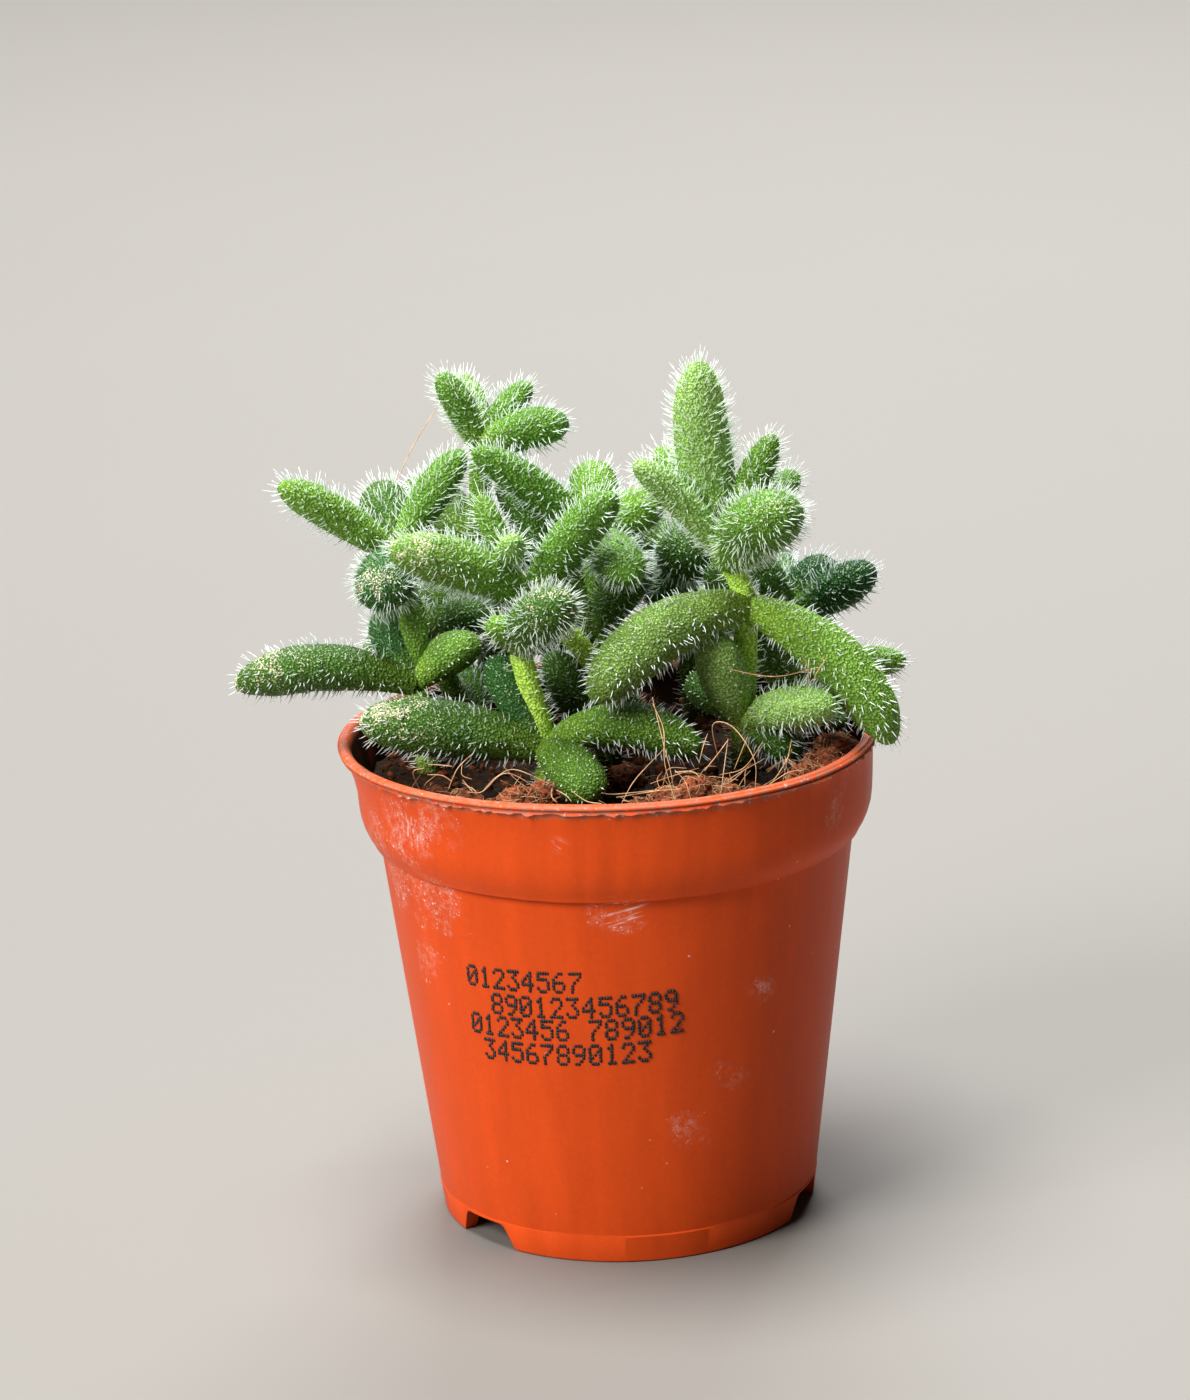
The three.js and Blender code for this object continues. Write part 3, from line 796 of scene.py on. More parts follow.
@dataclass(frozen=True)
class EarthFinish:
    """Damp growing mix, coir and fibres: one recipe with its own colours."""

    name: str
    dark: Colour
    light: Colour
    grain: float
    relief: float
    roughness: float = 0.9

    def build(self, effects: SharedEffects) -> bpy.types.Material:
        """Makes the material.

        Args:
            effects: The shared node groups.

        Returns:
            The finish.
        """
        material, bench, shader = start_material(self.name)
        place = bench.place()
        tone = bench.painted("tone", "Color")
        grain = bench.cloud(place, self.grain, 7.0, Roughness=0.7)
        colour = bench.mix(bench.span(grain, 0.35, 0.68), self.dark, self.light)
        shade = effects.uneven(bench, 300.0, 1.1)
        colour = bench.multiply(bench.shaded(colour, shade), tone)
        bump = bench.put("Bump", {"Height": grain, "Strength": 0.9, "Distance": self.relief * MM})
        bench.feed(
            shader,
            {
                "Base Color": colour,
                "Roughness": bench.span(grain, 0.3, 0.7, self.roughness - 0.2, self.roughness),
                "Normal": bump.outputs[0],
                "Specular IOR Level": 0.12,
            },
        )
        return material


PEAT = EarthFinish("peat", (0.008, 0.004, 0.002), (0.05, 0.022, 0.01), 1400.0, 0.3)
COIR = EarthFinish("coir", (0.055, 0.021, 0.01), (0.33, 0.138, 0.066), 2300.0, 0.25)
STRAW = EarthFinish("straw", (0.36, 0.22, 0.12), (0.6, 0.43, 0.27), 900.0, 0.03, 0.75)


@dataclass(frozen=True)
class StampInk:
    """Black marking ink, a little patchy."""

    name: str = "stamp_ink"
    colour: Colour = (0.012, 0.008, 0.008)
    thin: Colour = (0.06, 0.02, 0.014)

    def build(self, effects: SharedEffects) -> bpy.types.Material:
        """Makes the material.

        Args:
            effects: The shared node groups.

        Returns:
            The ink.
        """
        material, bench, shader = start_material(self.name)
        patchy = effects.uneven(bench, 2600.0, 1.6)
        colour = bench.mix(bench.span(patchy, 0.9, 1.3), self.colour, self.thin)
        bench.feed(shader, {"Base Color": colour, "Roughness": 0.5})
        return material


# Pot


@dataclass
class MouldedPot:
    """The nursery pot: one thin moulding with a collar, a rolled lip and three feet."""

    height: float = 51.7
    rim_radius: float = 27.5
    collar_bottom: float = 41.3
    body_top_radius: float = 24.95
    foot_radius: float = 19.8
    wall: float = 0.8
    body_inset: float = 0.06
    foot_height: float = 3.0
    floor_thickness: float = 0.9
    pull_from: float = 46.5
    pull_out: float = 1.5
    pull_azimuth: float = -90.0
    front_rise: float = 0.4
    notch_azimuths: tuple[float, ...] = (-50.0, 70.0, 190.0)
    notch_height: float = 2.8
    notch_half_foot: float = 4.2
    notch_half_head: float = 2.9
    notch_rounding: float = 0.55
    drain_count: int = 6
    drain_radius: float = 1.5
    drain_ring: float = 12.0
    crease_angle: float = 34.0
    segments: int = 480

    def body_radius(self, z: float) -> float:
        """Radius of the body's outer face at a height."""
        return self.foot_radius + (self.body_top_radius - self.foot_radius) * z / self.collar_bottom

    def profile(self) -> list[tuple[float, float]]:
        """The wall's section, from the underside out and up, over the lip and down inside."""
        floor_top = self.foot_height + self.floor_thickness
        rim, top = self.rim_radius, self.height
        body = [(self.body_radius(z), z) for z in (3.3, 8, 14, 20, 26, 32, 37, 40, 41.1)]
        inside = [(self.body_radius(z) - self.wall, z) for z in (40.5, 30, 20, 10, floor_top + 0.4)]
        return [
            (17.2, self.foot_height),
            (18.15, self.foot_height - 0.15),
            (18.25, 0.25),
            (18.4, 0.0),
            (self.foot_radius - 0.22, 0.0),
            (self.foot_radius - 0.02, 0.18),
            (self.body_radius(2.95) + 0.02, 2.95),
            (self.body_radius(3.1) - 0.07, 3.1),
            *[(r - self.body_inset, z) for r, z in body],
            (25.42, self.collar_bottom - 0.02),
            (25.62, self.collar_bottom + 0.12),
            (25.74, self.collar_bottom + 0.45),
            (26.15, 42.4),
            (26.5, 43.2),
            (26.76, 44.1),
            (26.9, 45.2),
            (26.98, 46.8),
            (27.04, 48.6),
            (27.08, 50.4),
            (rim - 0.34, 50.7),
            (rim - 0.12, 50.79),
            (rim + 0.02, 50.87),
            (rim - 0.04, 50.99),
            (rim - 0.2, 51.06),
            (rim - 0.21, 51.13),
            (rim - 0.06, 51.2),
            (rim, 51.32),
            (rim - 0.05, 51.44),
            (rim - 0.2, 51.5),
            (rim - 0.28, 51.55),
            (rim - 0.4, top - 0.02),
            (rim - 0.7, top),
            (rim - 0.95, top - 0.02),
            (rim - 1.2, top - 0.12),
            (rim - 1.3, top - 0.4),
            (rim - 1.25, 49.5),
            (rim - 1.2, 46.5),
            (25.95, 44.4),
            (25.2, 42.6),
            *inside,
            (self.body_radius(floor_top) - self.wall - 0.35, floor_top),
        ]

    def moved(self, points: np.ndarray) -> np.ndarray:
        """Pulls the rim outwards, and gives lip, flash and body their unevenness.

        Args:
            points: The round wall's points.

        Returns:
            The points of the real, slightly bent wall.
        """
        x, y, z = points.T
        radius = np.hypot(x, y)
        azimuth = np.arctan2(x, -y)
        rise = np.clip((z - self.pull_from) / (self.height - self.pull_from), 0, 1)
        facing = np.maximum(0, np.cos(azimuth - math.radians(self.pull_azimuth)))
        pull = self.pull_out * rise**1.6 * facing**2
        ring = np.c_[np.sin(azimuth) * 27, -np.cos(azimuth) * 27, np.zeros(len(z))]
        broad = rough(ring, 14, 2)
        fine = rough(ring, 0.9, 3, 7.0)
        ragged = rough(ring, 2.6, 2, 3.0)
        near_lip = smooth_step(49.5, 50.6, z) * (radius > 20)
        pull += near_lip * (0.07 * broad + 0.03 * ragged)
        flash = np.interp(z, (50.6, 50.76, 50.9, 51.02), (0, 1, 1, 0)) * (radius > 27)
        front = smooth_step(-1.35, -0.7, azimuth) * smooth_step(2.0, 1.2, azimuth)
        pull += flash * front * np.clip(0.02 + 0.16 * fine + 0.1 * ragged, -0.08, 0.22)
        drop = flash * front * np.clip(0.03 + 0.24 * fine + 0.16 * ragged, -0.05, 0.3)
        hem = (np.abs(z - 41.5) < 0.4) * (radius > 25.3)
        lift = near_lip * 0.05 * broad + hem * 0.05 * ragged - drop
        ribs = np.sin(azimuth * 62) * smooth_step(0.34, 0.2, np.abs(azimuth - 0.02))
        pull += 0.025 * ribs * smooth_step(41.8, 43.5, z) * smooth_step(49.5, 47.5, z)
        lift += self.front_rise * smooth_step(42.0, 50.6, z) * np.maximum(0, np.cos(azimuth)) ** 2
        on_body = (z > 3) * (z < 50)
        pull += on_body * 0.06 * broad
        out = (radius + pull) / np.maximum(radius, 1e-6)
        return np.c_[x * out, y * out, z + lift]

    def notch(self, azimuth: float) -> bpy.types.Object:
        """Models the tapered slot that a notch between two feet is cut with."""
        slot = add_primitive("cube", size=1.0)
        slot.name = "notch_cutter"
        slot.scale = (2 * self.notch_half_foot, 9.0, 2 * self.notch_height)
        bpy.ops.object.transform_apply(location=False, rotation=False, scale=True)
        bpy.ops.object.mode_set(mode="EDIT")
        bpy.ops.mesh.subdivide(number_cuts=1)
        bpy.ops.object.mode_set(mode="OBJECT")
        shape = np.array([vertex.co for vertex in slot.data.vertices])
        top = shape[:, 2] > self.notch_height * 0.9
        shape[top, 0] *= self.notch_half_head / self.notch_half_foot
        shape[:, 1] -= self.foot_radius
        slot.data.vertices.foreach_set("co", (shape * MM).ravel())
        bevel = slot.modifiers.new("rounded head", "BEVEL")
        bevel.width = self.notch_rounding * MM
        bevel.segments = 4
        bevel.angle_limit = math.radians(50)
        apply_modifiers(slot)
        slot.rotation_euler = (0, 0, math.radians(azimuth))
        slot.location = tuple(POT_AXIS * MM)
        bpy.ops.object.transform_apply(location=True, rotation=True, scale=True)
        return slot

    def drain(self, turn: float) -> bpy.types.Object:
        """Models the peg that a drain hole is cut with."""
        x, y, _ = POT_AXIS
        x += self.drain_ring * math.cos(turn)
        y += self.drain_ring * math.sin(turn)
        peg = add_primitive(
            "cylinder",
            vertices=40,
            radius=self.drain_radius * MM,
            depth=4 * MM,
            location=(x * MM, y * MM, (self.foot_height + 0.5) * MM),
        )
        bpy.ops.object.transform_apply(location=True, rotation=True, scale=True)
        peg.name = "drain_cutter"
        return peg

    def mark_inside(self, pot: bpy.types.Object) -> None:
        """Notes on each point whether it lies on the inner wall, for the painted shade there."""
        points = points_of(pot)
        normals = np.array([vertex.normal for vertex in pot.data.vertices])
        outward = unit(points * (1, 1, 0))
        facing = (normals * outward).sum(axis=1)
        inner = pot.data.attributes.new("inner", "FLOAT", "POINT")
        inner.data.foreach_set("value", smooth_step(0.0, -0.6, facing) * (points[:, 2] > 40))

    def build(self, plastic: bpy.types.Material) -> bpy.types.Object:
        """Models the pot.

        Args:
            plastic: Its material.

        Returns:
            The finished pot.
        """
        pot = raise_rings(self.profile(), self.segments)
        pot.name = "moulded_pot"
        set_points(pot, self.moved(points_of(pot)))
        cutters = [self.notch(azimuth) for azimuth in self.notch_azimuths]
        for i in range(self.drain_count):
            cutters.append(self.drain(2 * math.pi * (i + 0.5) / self.drain_count))
        for cutter in cutters:
            cut = pot.modifiers.new("cut", "BOOLEAN")
            cut.operation = "DIFFERENCE"
            cut.solver = "EXACT"
            cut.object = cutter
        apply_modifiers(pot)
        for cutter in cutters:
            bpy.data.objects.remove(cutter)
        self.mark_inside(pot)
        make_active(pot)
        bpy.ops.object.shade_smooth_by_angle(angle=math.radians(self.crease_angle))
        pot.data.materials.clear()
        pot.data.materials.append(plastic)
        return hand_over(pot, "pot_plastic", "pot")


DIGIT_ROWS: dict[str, tuple[int, ...]] = {
    "0": (14, 17, 19, 21, 25, 17, 14),
    "1": (4, 12, 4, 4, 4, 4, 14),
    "2": (14, 17, 1, 2, 4, 8, 31),
    "3": (31, 2, 4, 2, 1, 17, 14),
    "4": (2, 6, 10, 18, 31, 2, 2),
    "5": (31, 16, 30, 1, 1, 17, 14),
    "6": (6, 8, 16, 30, 17, 17, 14),
    "7": (31, 1, 2, 4, 8, 8, 8),
    "8": (14, 17, 17, 14, 17, 17, 14),
    "9": (14, 17, 17, 15, 1, 2, 12),
}


@dataclass
class StampedDigits:
    """Plain counting digits in dots of ink on the front of the body."""

    lines: tuple[tuple[str, float, float], ...] = (
        ("01234567", -17.2, 32.6),
        ("890123456789", -14.2, 29.9),
        ("0123456 789012", -17.0, 27.2),
        ("34567890123", -15.4, 24.5),
    )
    dot_step: float = 0.27
    row_step: float = 0.34
    dot_radius: float = 0.17
    dot_height: float = 0.03
    dot_sink: float = 0.08
    digit_step: float = 1.68
    slope: float = 0.05

    def places(self) -> Iterator[tuple[float, float]]:
        """Yields each dot's distance round the body and its height."""
        for digits, start, level in self.lines:
            for number, digit in enumerate(digits):
                for row, bits in enumerate(DIGIT_ROWS.get(digit, ())):
                    for column in range(5):
                        if bits >> (4 - column) & 1:
                            along = start + number * self.digit_step + column * self.dot_step
                            z = level + self.slope * (along - start) - row * self.row_step
                            yield along, z

    def build(self, pot: MouldedPot, ink: bpy.types.Material) -> bpy.types.Object:
        """Models the dots on the pot's face.

        Args:
            pot: The pot that they lie on.
            ink: Their material.

        Returns:
            All dots as one piece.
        """
        disc = add_primitive("circle", vertices=9, radius=self.dot_radius, fill_type="NGON")
        bpy.ops.object.mode_set(mode="EDIT")
        bpy.ops.mesh.extrude_region_move(
            TRANSFORM_OT_translate={"value": (0, 0, self.dot_height + self.dot_sink)}
        )
        face_outwards()
        dot = Pattern.take(disc)
        batch = MeshBatch()
        draw = np.random.default_rng(SEED)
        slant = (pot.body_top_radius - pot.foot_radius) / pot.collar_bottom
        for along, z in self.places():
            jitter = draw.normal(0, 0.022, 2)
            radius = pot.body_radius(z + jitter[1]) - pot.body_inset
            azimuth = (along + jitter[0]) / radius
            outward = unit(np.array((math.sin(azimuth), -math.cos(azimuth), -slant)))
            side = np.array((math.cos(azimuth), math.sin(azimuth), 0.0))
            up = np.cross(outward, side)
            centre = np.array((radius * math.sin(azimuth), -radius * math.cos(azimuth), z))
            local = dot.points * (draw.uniform(0.85, 1.1), draw.uniform(1.05, 1.35), 1.0)
            points = (
                centre
                + local[:, :1] * side
                + local[:, 1:2] * up
                + (local[:, 2:] - self.dot_sink + pot.body_inset) * outward
            )
            batch.add(points, dot.triangles)
        piece = batch.build("stamped_digits", ink)
        return hand_over(piece, "pot_plastic")


# Growing mix


@dataclass(frozen=True)
class Lump:
    """One clod of coir: its centre, its size, and how red it is from 0 to 1."""

    centre: Point
    size: float
    red: float


@dataclass
class GrowingMix:
    """The mix in the pot: a crumbly mass, lumps of coir, crumbs and loose fibres."""

    top: float = 47.2
    crumb: float = 0.45
    edge_radius: float = 25.65
    low: float = 4.25
    segments: int = 176
    rings: int = 58
    crumb_count: int = 900
    bits_per_lump: int = 45
    fibre_count: int = 260
    nest_fibre_count: int = 700
    lumps: tuple[Lump, ...] = (
        Lump((-9.6, -17.0, 49.4), 2.3, 1.0),
        Lump((-7.1, -16.0, 50.0), 1.7, 0.9),
        Lump((-12.0, -17.8, 48.9), 1.6, 0.5),
        Lump((-15.5, -15.4, 49.0), 1.9, 0.3),
        Lump((-18.6, -13.4, 48.9), 1.8, 0.15),
        Lump((8.4, -18.0, 50.2), 2.1, 1.0),
        Lump((5.2, -18.8, 49.5), 2.1, 0.7),
        Lump((11.2, -18.4, 49.6), 1.7, 0.7),
        Lump((2.4, -19.6, 49.0), 1.6, 0.5),
        Lump((13.8, -16.8, 48.9), 1.8, 0.3),
        Lump((19.4, -12.6, 49.6), 1.8, 1.0),
        Lump((21.6, -9.6, 50.0), 2.1, 1.0),
        Lump((23.2, -5.4, 50.2), 2.0, 0.9),
        Lump((22.8, -0.6, 49.0), 2.0, 0.4),
        Lump((1.0, -5.0, 47.8), 2.0, 0.3),
        Lump((3.0, 20.5, 47.9), 2.1, 0.5),
        Lump((-8.0, 21.5, 47.8), 1.7, 0.4),
        Lump((16.0, 15.5, 47.9), 1.9, 0.5),
        Lump((-20.0, 10.0, 47.9), 1.9, 0.35),
    )

    def surface(self, x: np.ndarray, y: np.ndarray) -> np.ndarray:
        """Height of the mix's surface, with its crumbs.

        Args:
            x: Places to the right of the pot's axis.
            y: Places behind it.

        Returns:
            The heights.
        """
        x, y = np.atleast_1d(x).astype(float), np.atleast_1d(y).astype(float)
        broad = np.sin(0.31 * x + 1.3) * np.cos(0.27 * y - 0.4)
        fine = np.sin(1.1 * x - 0.6 * y) * np.cos(0.9 * y + 0.5 * x)
        points = np.c_[x, y, np.zeros(len(x))]
        clods = np.abs(rough(points, 4.0, 3, 11.0))
        grit = rough(points, 1.1, 3, 5.0)
        return self.top + self.crumb * (0.6 * broad + 0.4 * fine) + 0.9 * clods + 0.22 * grit

    def body_profile(self, pot: MouldedPot) -> list[tuple[float, float]]:
        """The mass's section, from its flat bottom up the wall and in over the top."""
        gap = pot.wall + 0.35
        sides = [(pot.body_radius(z) - gap, z) for z in (self.low, 15, 28, pot.collar_bottom)]
        rings = [
            (self.edge_radius * (1 - i / self.rings), self.top) for i in range(self.rings)
        ]
        return [*sides, (self.edge_radius, 44.6), *rings]

    def mass(self, pot: MouldedPot, finish: bpy.types.Material) -> bpy.types.Object:
        """Models the mass of the mix.

        Args:
            pot: The pot that it fills.
            finish: Its material.

        Returns:
            The mass, in place of its solid.
        """
        heap = raise_rings(self.body_profile(pot), self.segments)
        heap.name = "growing_mix"
        points = points_of(heap)
        upper = points[:, 2] > self.top - 0.5
        x, y = points[upper, 0], points[upper, 1]
        sink = smooth_step(self.edge_radius - 1.4, self.edge_radius, np.hypot(x, y))
        points[upper, 2] = self.surface(x, y) - 0.5 * sink
        set_points(heap, points)
        tone = heap.data.attributes.new("tone", "FLOAT_COLOR", "POINT")
        tone.data.foreach_set("color", np.ones(len(points) * 4))
        make_active(heap)
        bpy.ops.object.shade_smooth()
        heap.data.materials.append(finish)
        return hand_over(heap, "growing_mix", "soil")

    def scatter(self, finish: bpy.types.Material) -> bpy.types.Object:
        """Models the lumps of coir and the crumbs that lie on the mix.

        Args:
            finish: Their material.

        Returns:
            All of them as one piece.
        """
        clod = Pattern.take(add_primitive("ico_sphere", subdivisions=4, radius=1.0))
        grain = Pattern.take(add_primitive("ico_sphere", subdivisions=2, radius=1.0))
        draw = np.random.default_rng(SEED + 1)
        batch = MeshBatch()
        bit = Pattern.take(add_primitive("ico_sphere", subdivisions=1, radius=1.0))
        peat_brown = np.array((0.4, 0.33, 0.3))
        for number, lump in enumerate(self.lumps):
            bulge = 1 + 0.3 * rough(clod.points, 0.9, 2, number)
            bulge += 0.2 * rough(clod.points, 0.3, 4, number + 0.5)
            points = clod.points * bulge[:, None] * lump.size * (1.0, 0.9, 0.75) + lump.centre
            tone = blend(np.array((1.25, 0.82, 0.7)), peat_brown, lump.red)
            # Painted shade: each clod is darker in its dents and lighter on its bumps.
            deep = 0.45 + 0.75 * smooth_step(0.75, 1.25, bulge)
            batch.add(points, clod.triangles, tone * deep[:, None])
            for _ in range(self.bits_per_lump):
                spot = points[draw.integers(len(points))]
                shape = bit.points * draw.uniform(0.5, 1.3, 3) * draw.uniform(0.1, 0.3)
                batch.add(shape + spot, bit.triangles, tone * draw.uniform(0.4, 1.5))
        for _ in range(self.crumb_count):
            radius = 25.0 * math.sqrt(draw.random())
            turn = draw.uniform(0, 2 * math.pi)
            x, y = radius * math.cos(turn), radius * math.sin(turn)
            size = 0.22 + 0.5 * draw.random() ** 2.5
            shape = grain.points * draw.uniform(0.6, 1.2, 3) * size
            shape *= (1 + 0.35 * rough(grain.points, 0.8, 2, draw.uniform(0, 90)))[:, None]
            spot = (x, y, self.surface(x, y)[0] + size * 0.2)
            tone = blend(np.array((1.1, 0.72, 0.56)), peat_brown, draw.random() ** 2)
            batch.add(shape + spot, grain.triangles, tone)
        return hand_over(batch.build("coir_lumps", finish), "growing_mix")

    def fibres(self, finish: bpy.types.Material) -> bpy.types.Object:
        """Models the loose fibres that arch out of the mix.

        Args:
            finish: Their material.

        Returns:
            All fibres as one piece.
        """
        draw = np.random.default_rng(SEED + 2)
        batch = MeshBatch()
        for path, radius, tone in self.fibre_paths(draw):
            points, triangles = tube(path, radius, 5)
            batch.add(points, triangles, tone)
        return hand_over(batch.build("coir_fibres", finish), "growing_mix")

    def fibre_paths(
        self, draw: np.random.Generator
    ) -> Iterator[tuple[np.ndarray, float, Colour]]:
        """Yields each fibre's path, radius and colour.

        Args:
            draw: The seeded draw.

        Yields:
            A path of points, the fibre's radius and its tone.
        """
        straw, brown = np.array((1.3, 1.2, 1.1)), np.array((0.75, 0.5, 0.38))
        for hand_laid in LAID_FIBRES:
            shade = draw.uniform(0.55, 1.0)
            tone = blend(straw, brown, shade)
            yield smooth_path(np.array(hand_laid), 26), draw.uniform(0.045, 0.065), tuple(tone)
        for _ in range(self.fibre_count):
            lump = self.lumps[draw.integers(len(self.lumps))]
            start = np.array(lump.centre) + unit(draw.normal(0, 1, 3)) * lump.size * 0.85
            heading = unit(draw.normal(0, 1, 3) * (1, 1, 0.5))
            length = 1.6 + 4.2 * draw.random() ** 2
            end = start + heading * length
            middle = (start + end) / 2 + draw.normal(0, 0.13 * length, 3)
            knots = np.array((start, middle, end))
            reach = np.hypot(knots[:, 0], knots[:, 1])
            knots[:, :2] *= np.minimum(1, 25.3 / reach)[:, None]
            knots[:, 2] = np.clip(knots[:, 2], self.top + 0.4, 53.0)
            shade = draw.random() ** 1.4
            tone = blend(straw, brown, shade)
            yield smooth_path(knots, 12), draw.uniform(0.025, 0.055), tuple(tone)
        red = np.array([lump.red for lump in self.lumps])
        for _ in range(self.nest_fibre_count):
            lump = self.lumps[draw.choice(len(self.lumps), p=red / red.sum())]
            ways = unit(draw.normal(0, 1, 3)) + np.cumsum(draw.normal(0, 0.55, (4, 3)), axis=0)
            ways = unit(ways * (1, 1, 0.8) + (0, 0, 0.25))
            reach = lump.size * draw.uniform(0.9, 1.25, (4, 1))
            knots = np.array(lump.centre) + ways * reach * (1.0, 0.9, 0.8)
            shade = draw.random() ** 2
            tone = blend(straw, brown, shade)
            yield smooth_path(knots, 12), draw.uniform(0.018, 0.036), tuple(tone)


LAID_FIBRES: tuple[tuple[Point, ...], ...] = (
    ((6, -21, 50), (5.5, -20, 53.5), (5, -19, 55.5), (4, -16.5, 60)),
    ((6, -21.5, 50), (5, -20, 54), (5, -18, 57), (4, -17, 59.5)),
    ((0.5, -21.5, 50.5), (2, -20, 52.5), (5, -18, 55)),
    ((7.5, -21, 50.5), (7, -20, 52), (6, -19, 53)),
    ((10.5, -16, 53), (10, -17, 57), (12, -18, 57), (14, -19.5, 54), (14, -20.5, 51)),
    ((9, -18, 52.5), (10.5, -17, 54), (11.5, -16, 55)),
    ((10.5, -20, 50.5), (11, -18.5, 53), (11.5, -17, 55.5)),
    ((10.5, -19, 51), (12, -18.5, 52), (15, -18, 53.5)),
    ((12, -18, 52.5), (13, -17, 54.5), (13.5, -16.5, 55.5)),
    ((10.5, -18, 52), (13, -17.5, 52.5), (15, -17, 55)),
    ((15.5, -16.5, 50), (17, -16, 52), (18, -15, 53.5)),
    ((17, -16, 50.5), (17.5, -15.5, 52.5), (18, -15, 54.5)),
    ((15.5, -18.5, 51), (17.5, -18, 52), (19, -17.5, 52)),
    ((8.5, -17, 53), (9, -16, 54.5), (9.5, -15, 55.5)),
    ((6, -18, 52.5), (8, -18.5, 52.5), (9, -19, 51)),
    ((0, -19.5, 50.5), (4, -19.5, 51), (7, -19, 51)),
    ((3.5, -18.5, 51.5), (5.5, -18, 52), (8.5, -17, 52.5)),
    ((-15, -17.5, 51), (-13.5, -17.5, 51), (-11, -18, 53), (-7.5, -18, 51)),
    ((-13.5, -17.5, 51), (-12, -17.5, 52.5), (-10, -17, 53), (-6, -17, 51)),
    ((-17, -16.5, 51), (-16, -16, 53), (-14.5, -16, 54.5)),
    ((-15.5, -16, 53.5), (-15.5, -16.5, 52.5), (-14.5, -16.5, 52)),
    ((-15.5, -16.5, 52), (-15, -17, 51.5), (-14.5, -17.5, 51)),
    ((-6, -21, 52), (-5, -21.5, 51.5), (-4.5, -22, 51)),
    ((-4.5, -21.5, 52), (-3, -22, 51), (-1.5, -23, 51)),
    ((-6.5, -19, 51.5), (-6.5, -20, 51), (-6, -20.5, 50.5)),
    ((-1.5, -21, 51.5), (0, -20, 51), (4.5, -19, 51), (6.5, -18, 51)),
    ((-19, -17.5, 53), (-17.5, -18, 53), (-16.5, -18.5, 52.5)),
    ((-19, -14, 53), (-17.5, -14.5, 53), (-16.5, -15, 53)),
    ((12, -9, 60.5), (15, -10, 60), (17.5, -10.5, 60), (21.5, -11, 61)),
    ((19.5, -11, 62), (20, -11, 61), (20, -11, 59)),
    ((20.5, -11, 59.5), (21, -11, 60.5), (22, -11, 62)),
    ((-21.8, 10, 76.6), (-20, 11.5, 80), (-17.2, 14.2, 83.8)),
)


def smooth_path(knots: np.ndarray, count: int) -> np.ndarray:
    """Runs a smooth curve through knots.

    Args:
        knots: The points to pass through, at least two.
        count: How many points the path gets.

    Returns:
        The path's points.
    """
    first, last = 2 * knots[0] - knots[1], 2 * knots[-1] - knots[-2]
    k = np.vstack((first, knots, last))
    place = np.linspace(0, len(knots) - 1, count)
    piece = np.minimum(place.astype(int), len(knots) - 2)
    t = (place - piece)[:, None]
    a, b, c, d = k[piece], k[piece + 1], k[piece + 2], k[piece + 3]
    return 0.5 * (
        2 * b + (c - a) * t + (2 * a - 5 * b + 4 * c - d) * t**2 + (3 * b - a - 3 * c + d) * t**3
    )


def tube(path: np.ndarray, radius: float, sides: int) -> tuple[np.ndarray, np.ndarray]:
    """Makes a thin closed tube along a path, pointed at both ends.

    Args:
        path: Its centre line.
        radius: Its radius at the middle.
        sides: How many sides it has.

    Returns:
        Its points and its triangles.
    """
    along = unit(np.gradient(path, axis=0))
    across = unit(np.cross(along, (0.31, 0.17, 0.93)))
    other = np.cross(along, across)
    count = len(path)
    thin = radius * (0.45 + 0.55 * np.sin(np.linspace(0.25, math.pi - 0.25, count)))
    turn = np.arange(sides) * 2 * math.pi / sides
    rings = (
        path[:, None]
        + (across[:, None] * np.cos(turn)[:, None] + other[:, None] * np.sin(turn)[:, None])
        * thin[:, None, None]
    )
    points = np.vstack((rings.reshape(-1, 3), path[0], path[-1]))
    triangles = []
    for i in range(count - 1):
        for j in range(sides):
            a, b = i * sides + j, i * sides + (j + 1) % sides
            triangles += [(a, b, b + sides), (a, b + sides, a + sides)]
    head, foot = count * sides, (count - 1) * sides
    for j in range(sides):
        triangles.append((j, head, (j + 1) % sides))
        triangles.append((foot + j, foot + (j + 1) % sides, head + 1))
    return points, np.array(triangles)


# Shoots


@dataclass(frozen=True)
class BristleCoat:
    """How bristles stand on a limb."""

    per_mm2: float
    length: float
    radius: float
    top_share: float
    lean: float
    frost: Colour


class LeafAge(Enum):
    """A leaf's age, which sets its coat of bristles."""

    # Each frost colour is the bristles' own white; the blue in the grown and old ones is painted
    # skylight.
    YOUNG = BristleCoat(2.4, 1.3, 0.085, 1.0, 0.4, (0.78, 0.90, 0.80))
    GROWN = BristleCoat(1.7, 1.2, 0.092, 1.0, 0.35, (0.80, 0.93, 0.90))
    OLD = BristleCoat(1.15, 1.05, 0.1, 0.65, 0.3, (0.84, 0.94, 0.95))
    SMOOTH = BristleCoat(0.7, 0.3, 0.12, 1.0, 0.2, (0.80, 0.92, 0.76))
    STEM = BristleCoat(1.6, 1.15, 0.09, 1.0, 0.1, (0.86, 0.94, 0.80))


class LeafTone(Enum):
    """Colours of the skin, as linear red, green and blue: the leaves' own tones, and in places
    painted light and shade, where a leaf in shade takes the pale tone and leaves in deep shade take
    the dark one.
    """

    PALE = (0.265, 0.46, 0.11)
    FRESH = (0.154, 0.315, 0.035)
    MEADOW = (0.102, 0.24, 0.023)
    GRASS = (0.08, 0.18, 0.015)
    DEEP = (0.054, 0.135, 0.015)
    BLUE = (0.033, 0.12, 0.023)
    # Painted shade: the near-black green of leaves that lie in deep shade.
    DARK = (0.008, 0.062, 0.005)
    LIME = (0.265, 0.44, 0.055)
    MOSS = (0.125, 0.22, 0.037)
    OLIVE = (0.031, 0.037, 0.001)


@dataclass(frozen=True)
class Leaf:
    """One leaf: the stem point that it grows from, its tip, its width and its bow."""

    node: int
    tip: Point
    width: float
    arch: float
    age: LeafAge = LeafAge.GROWN
    tone: LeafTone = LeafTone.GRASS
    crust: float = 0.0


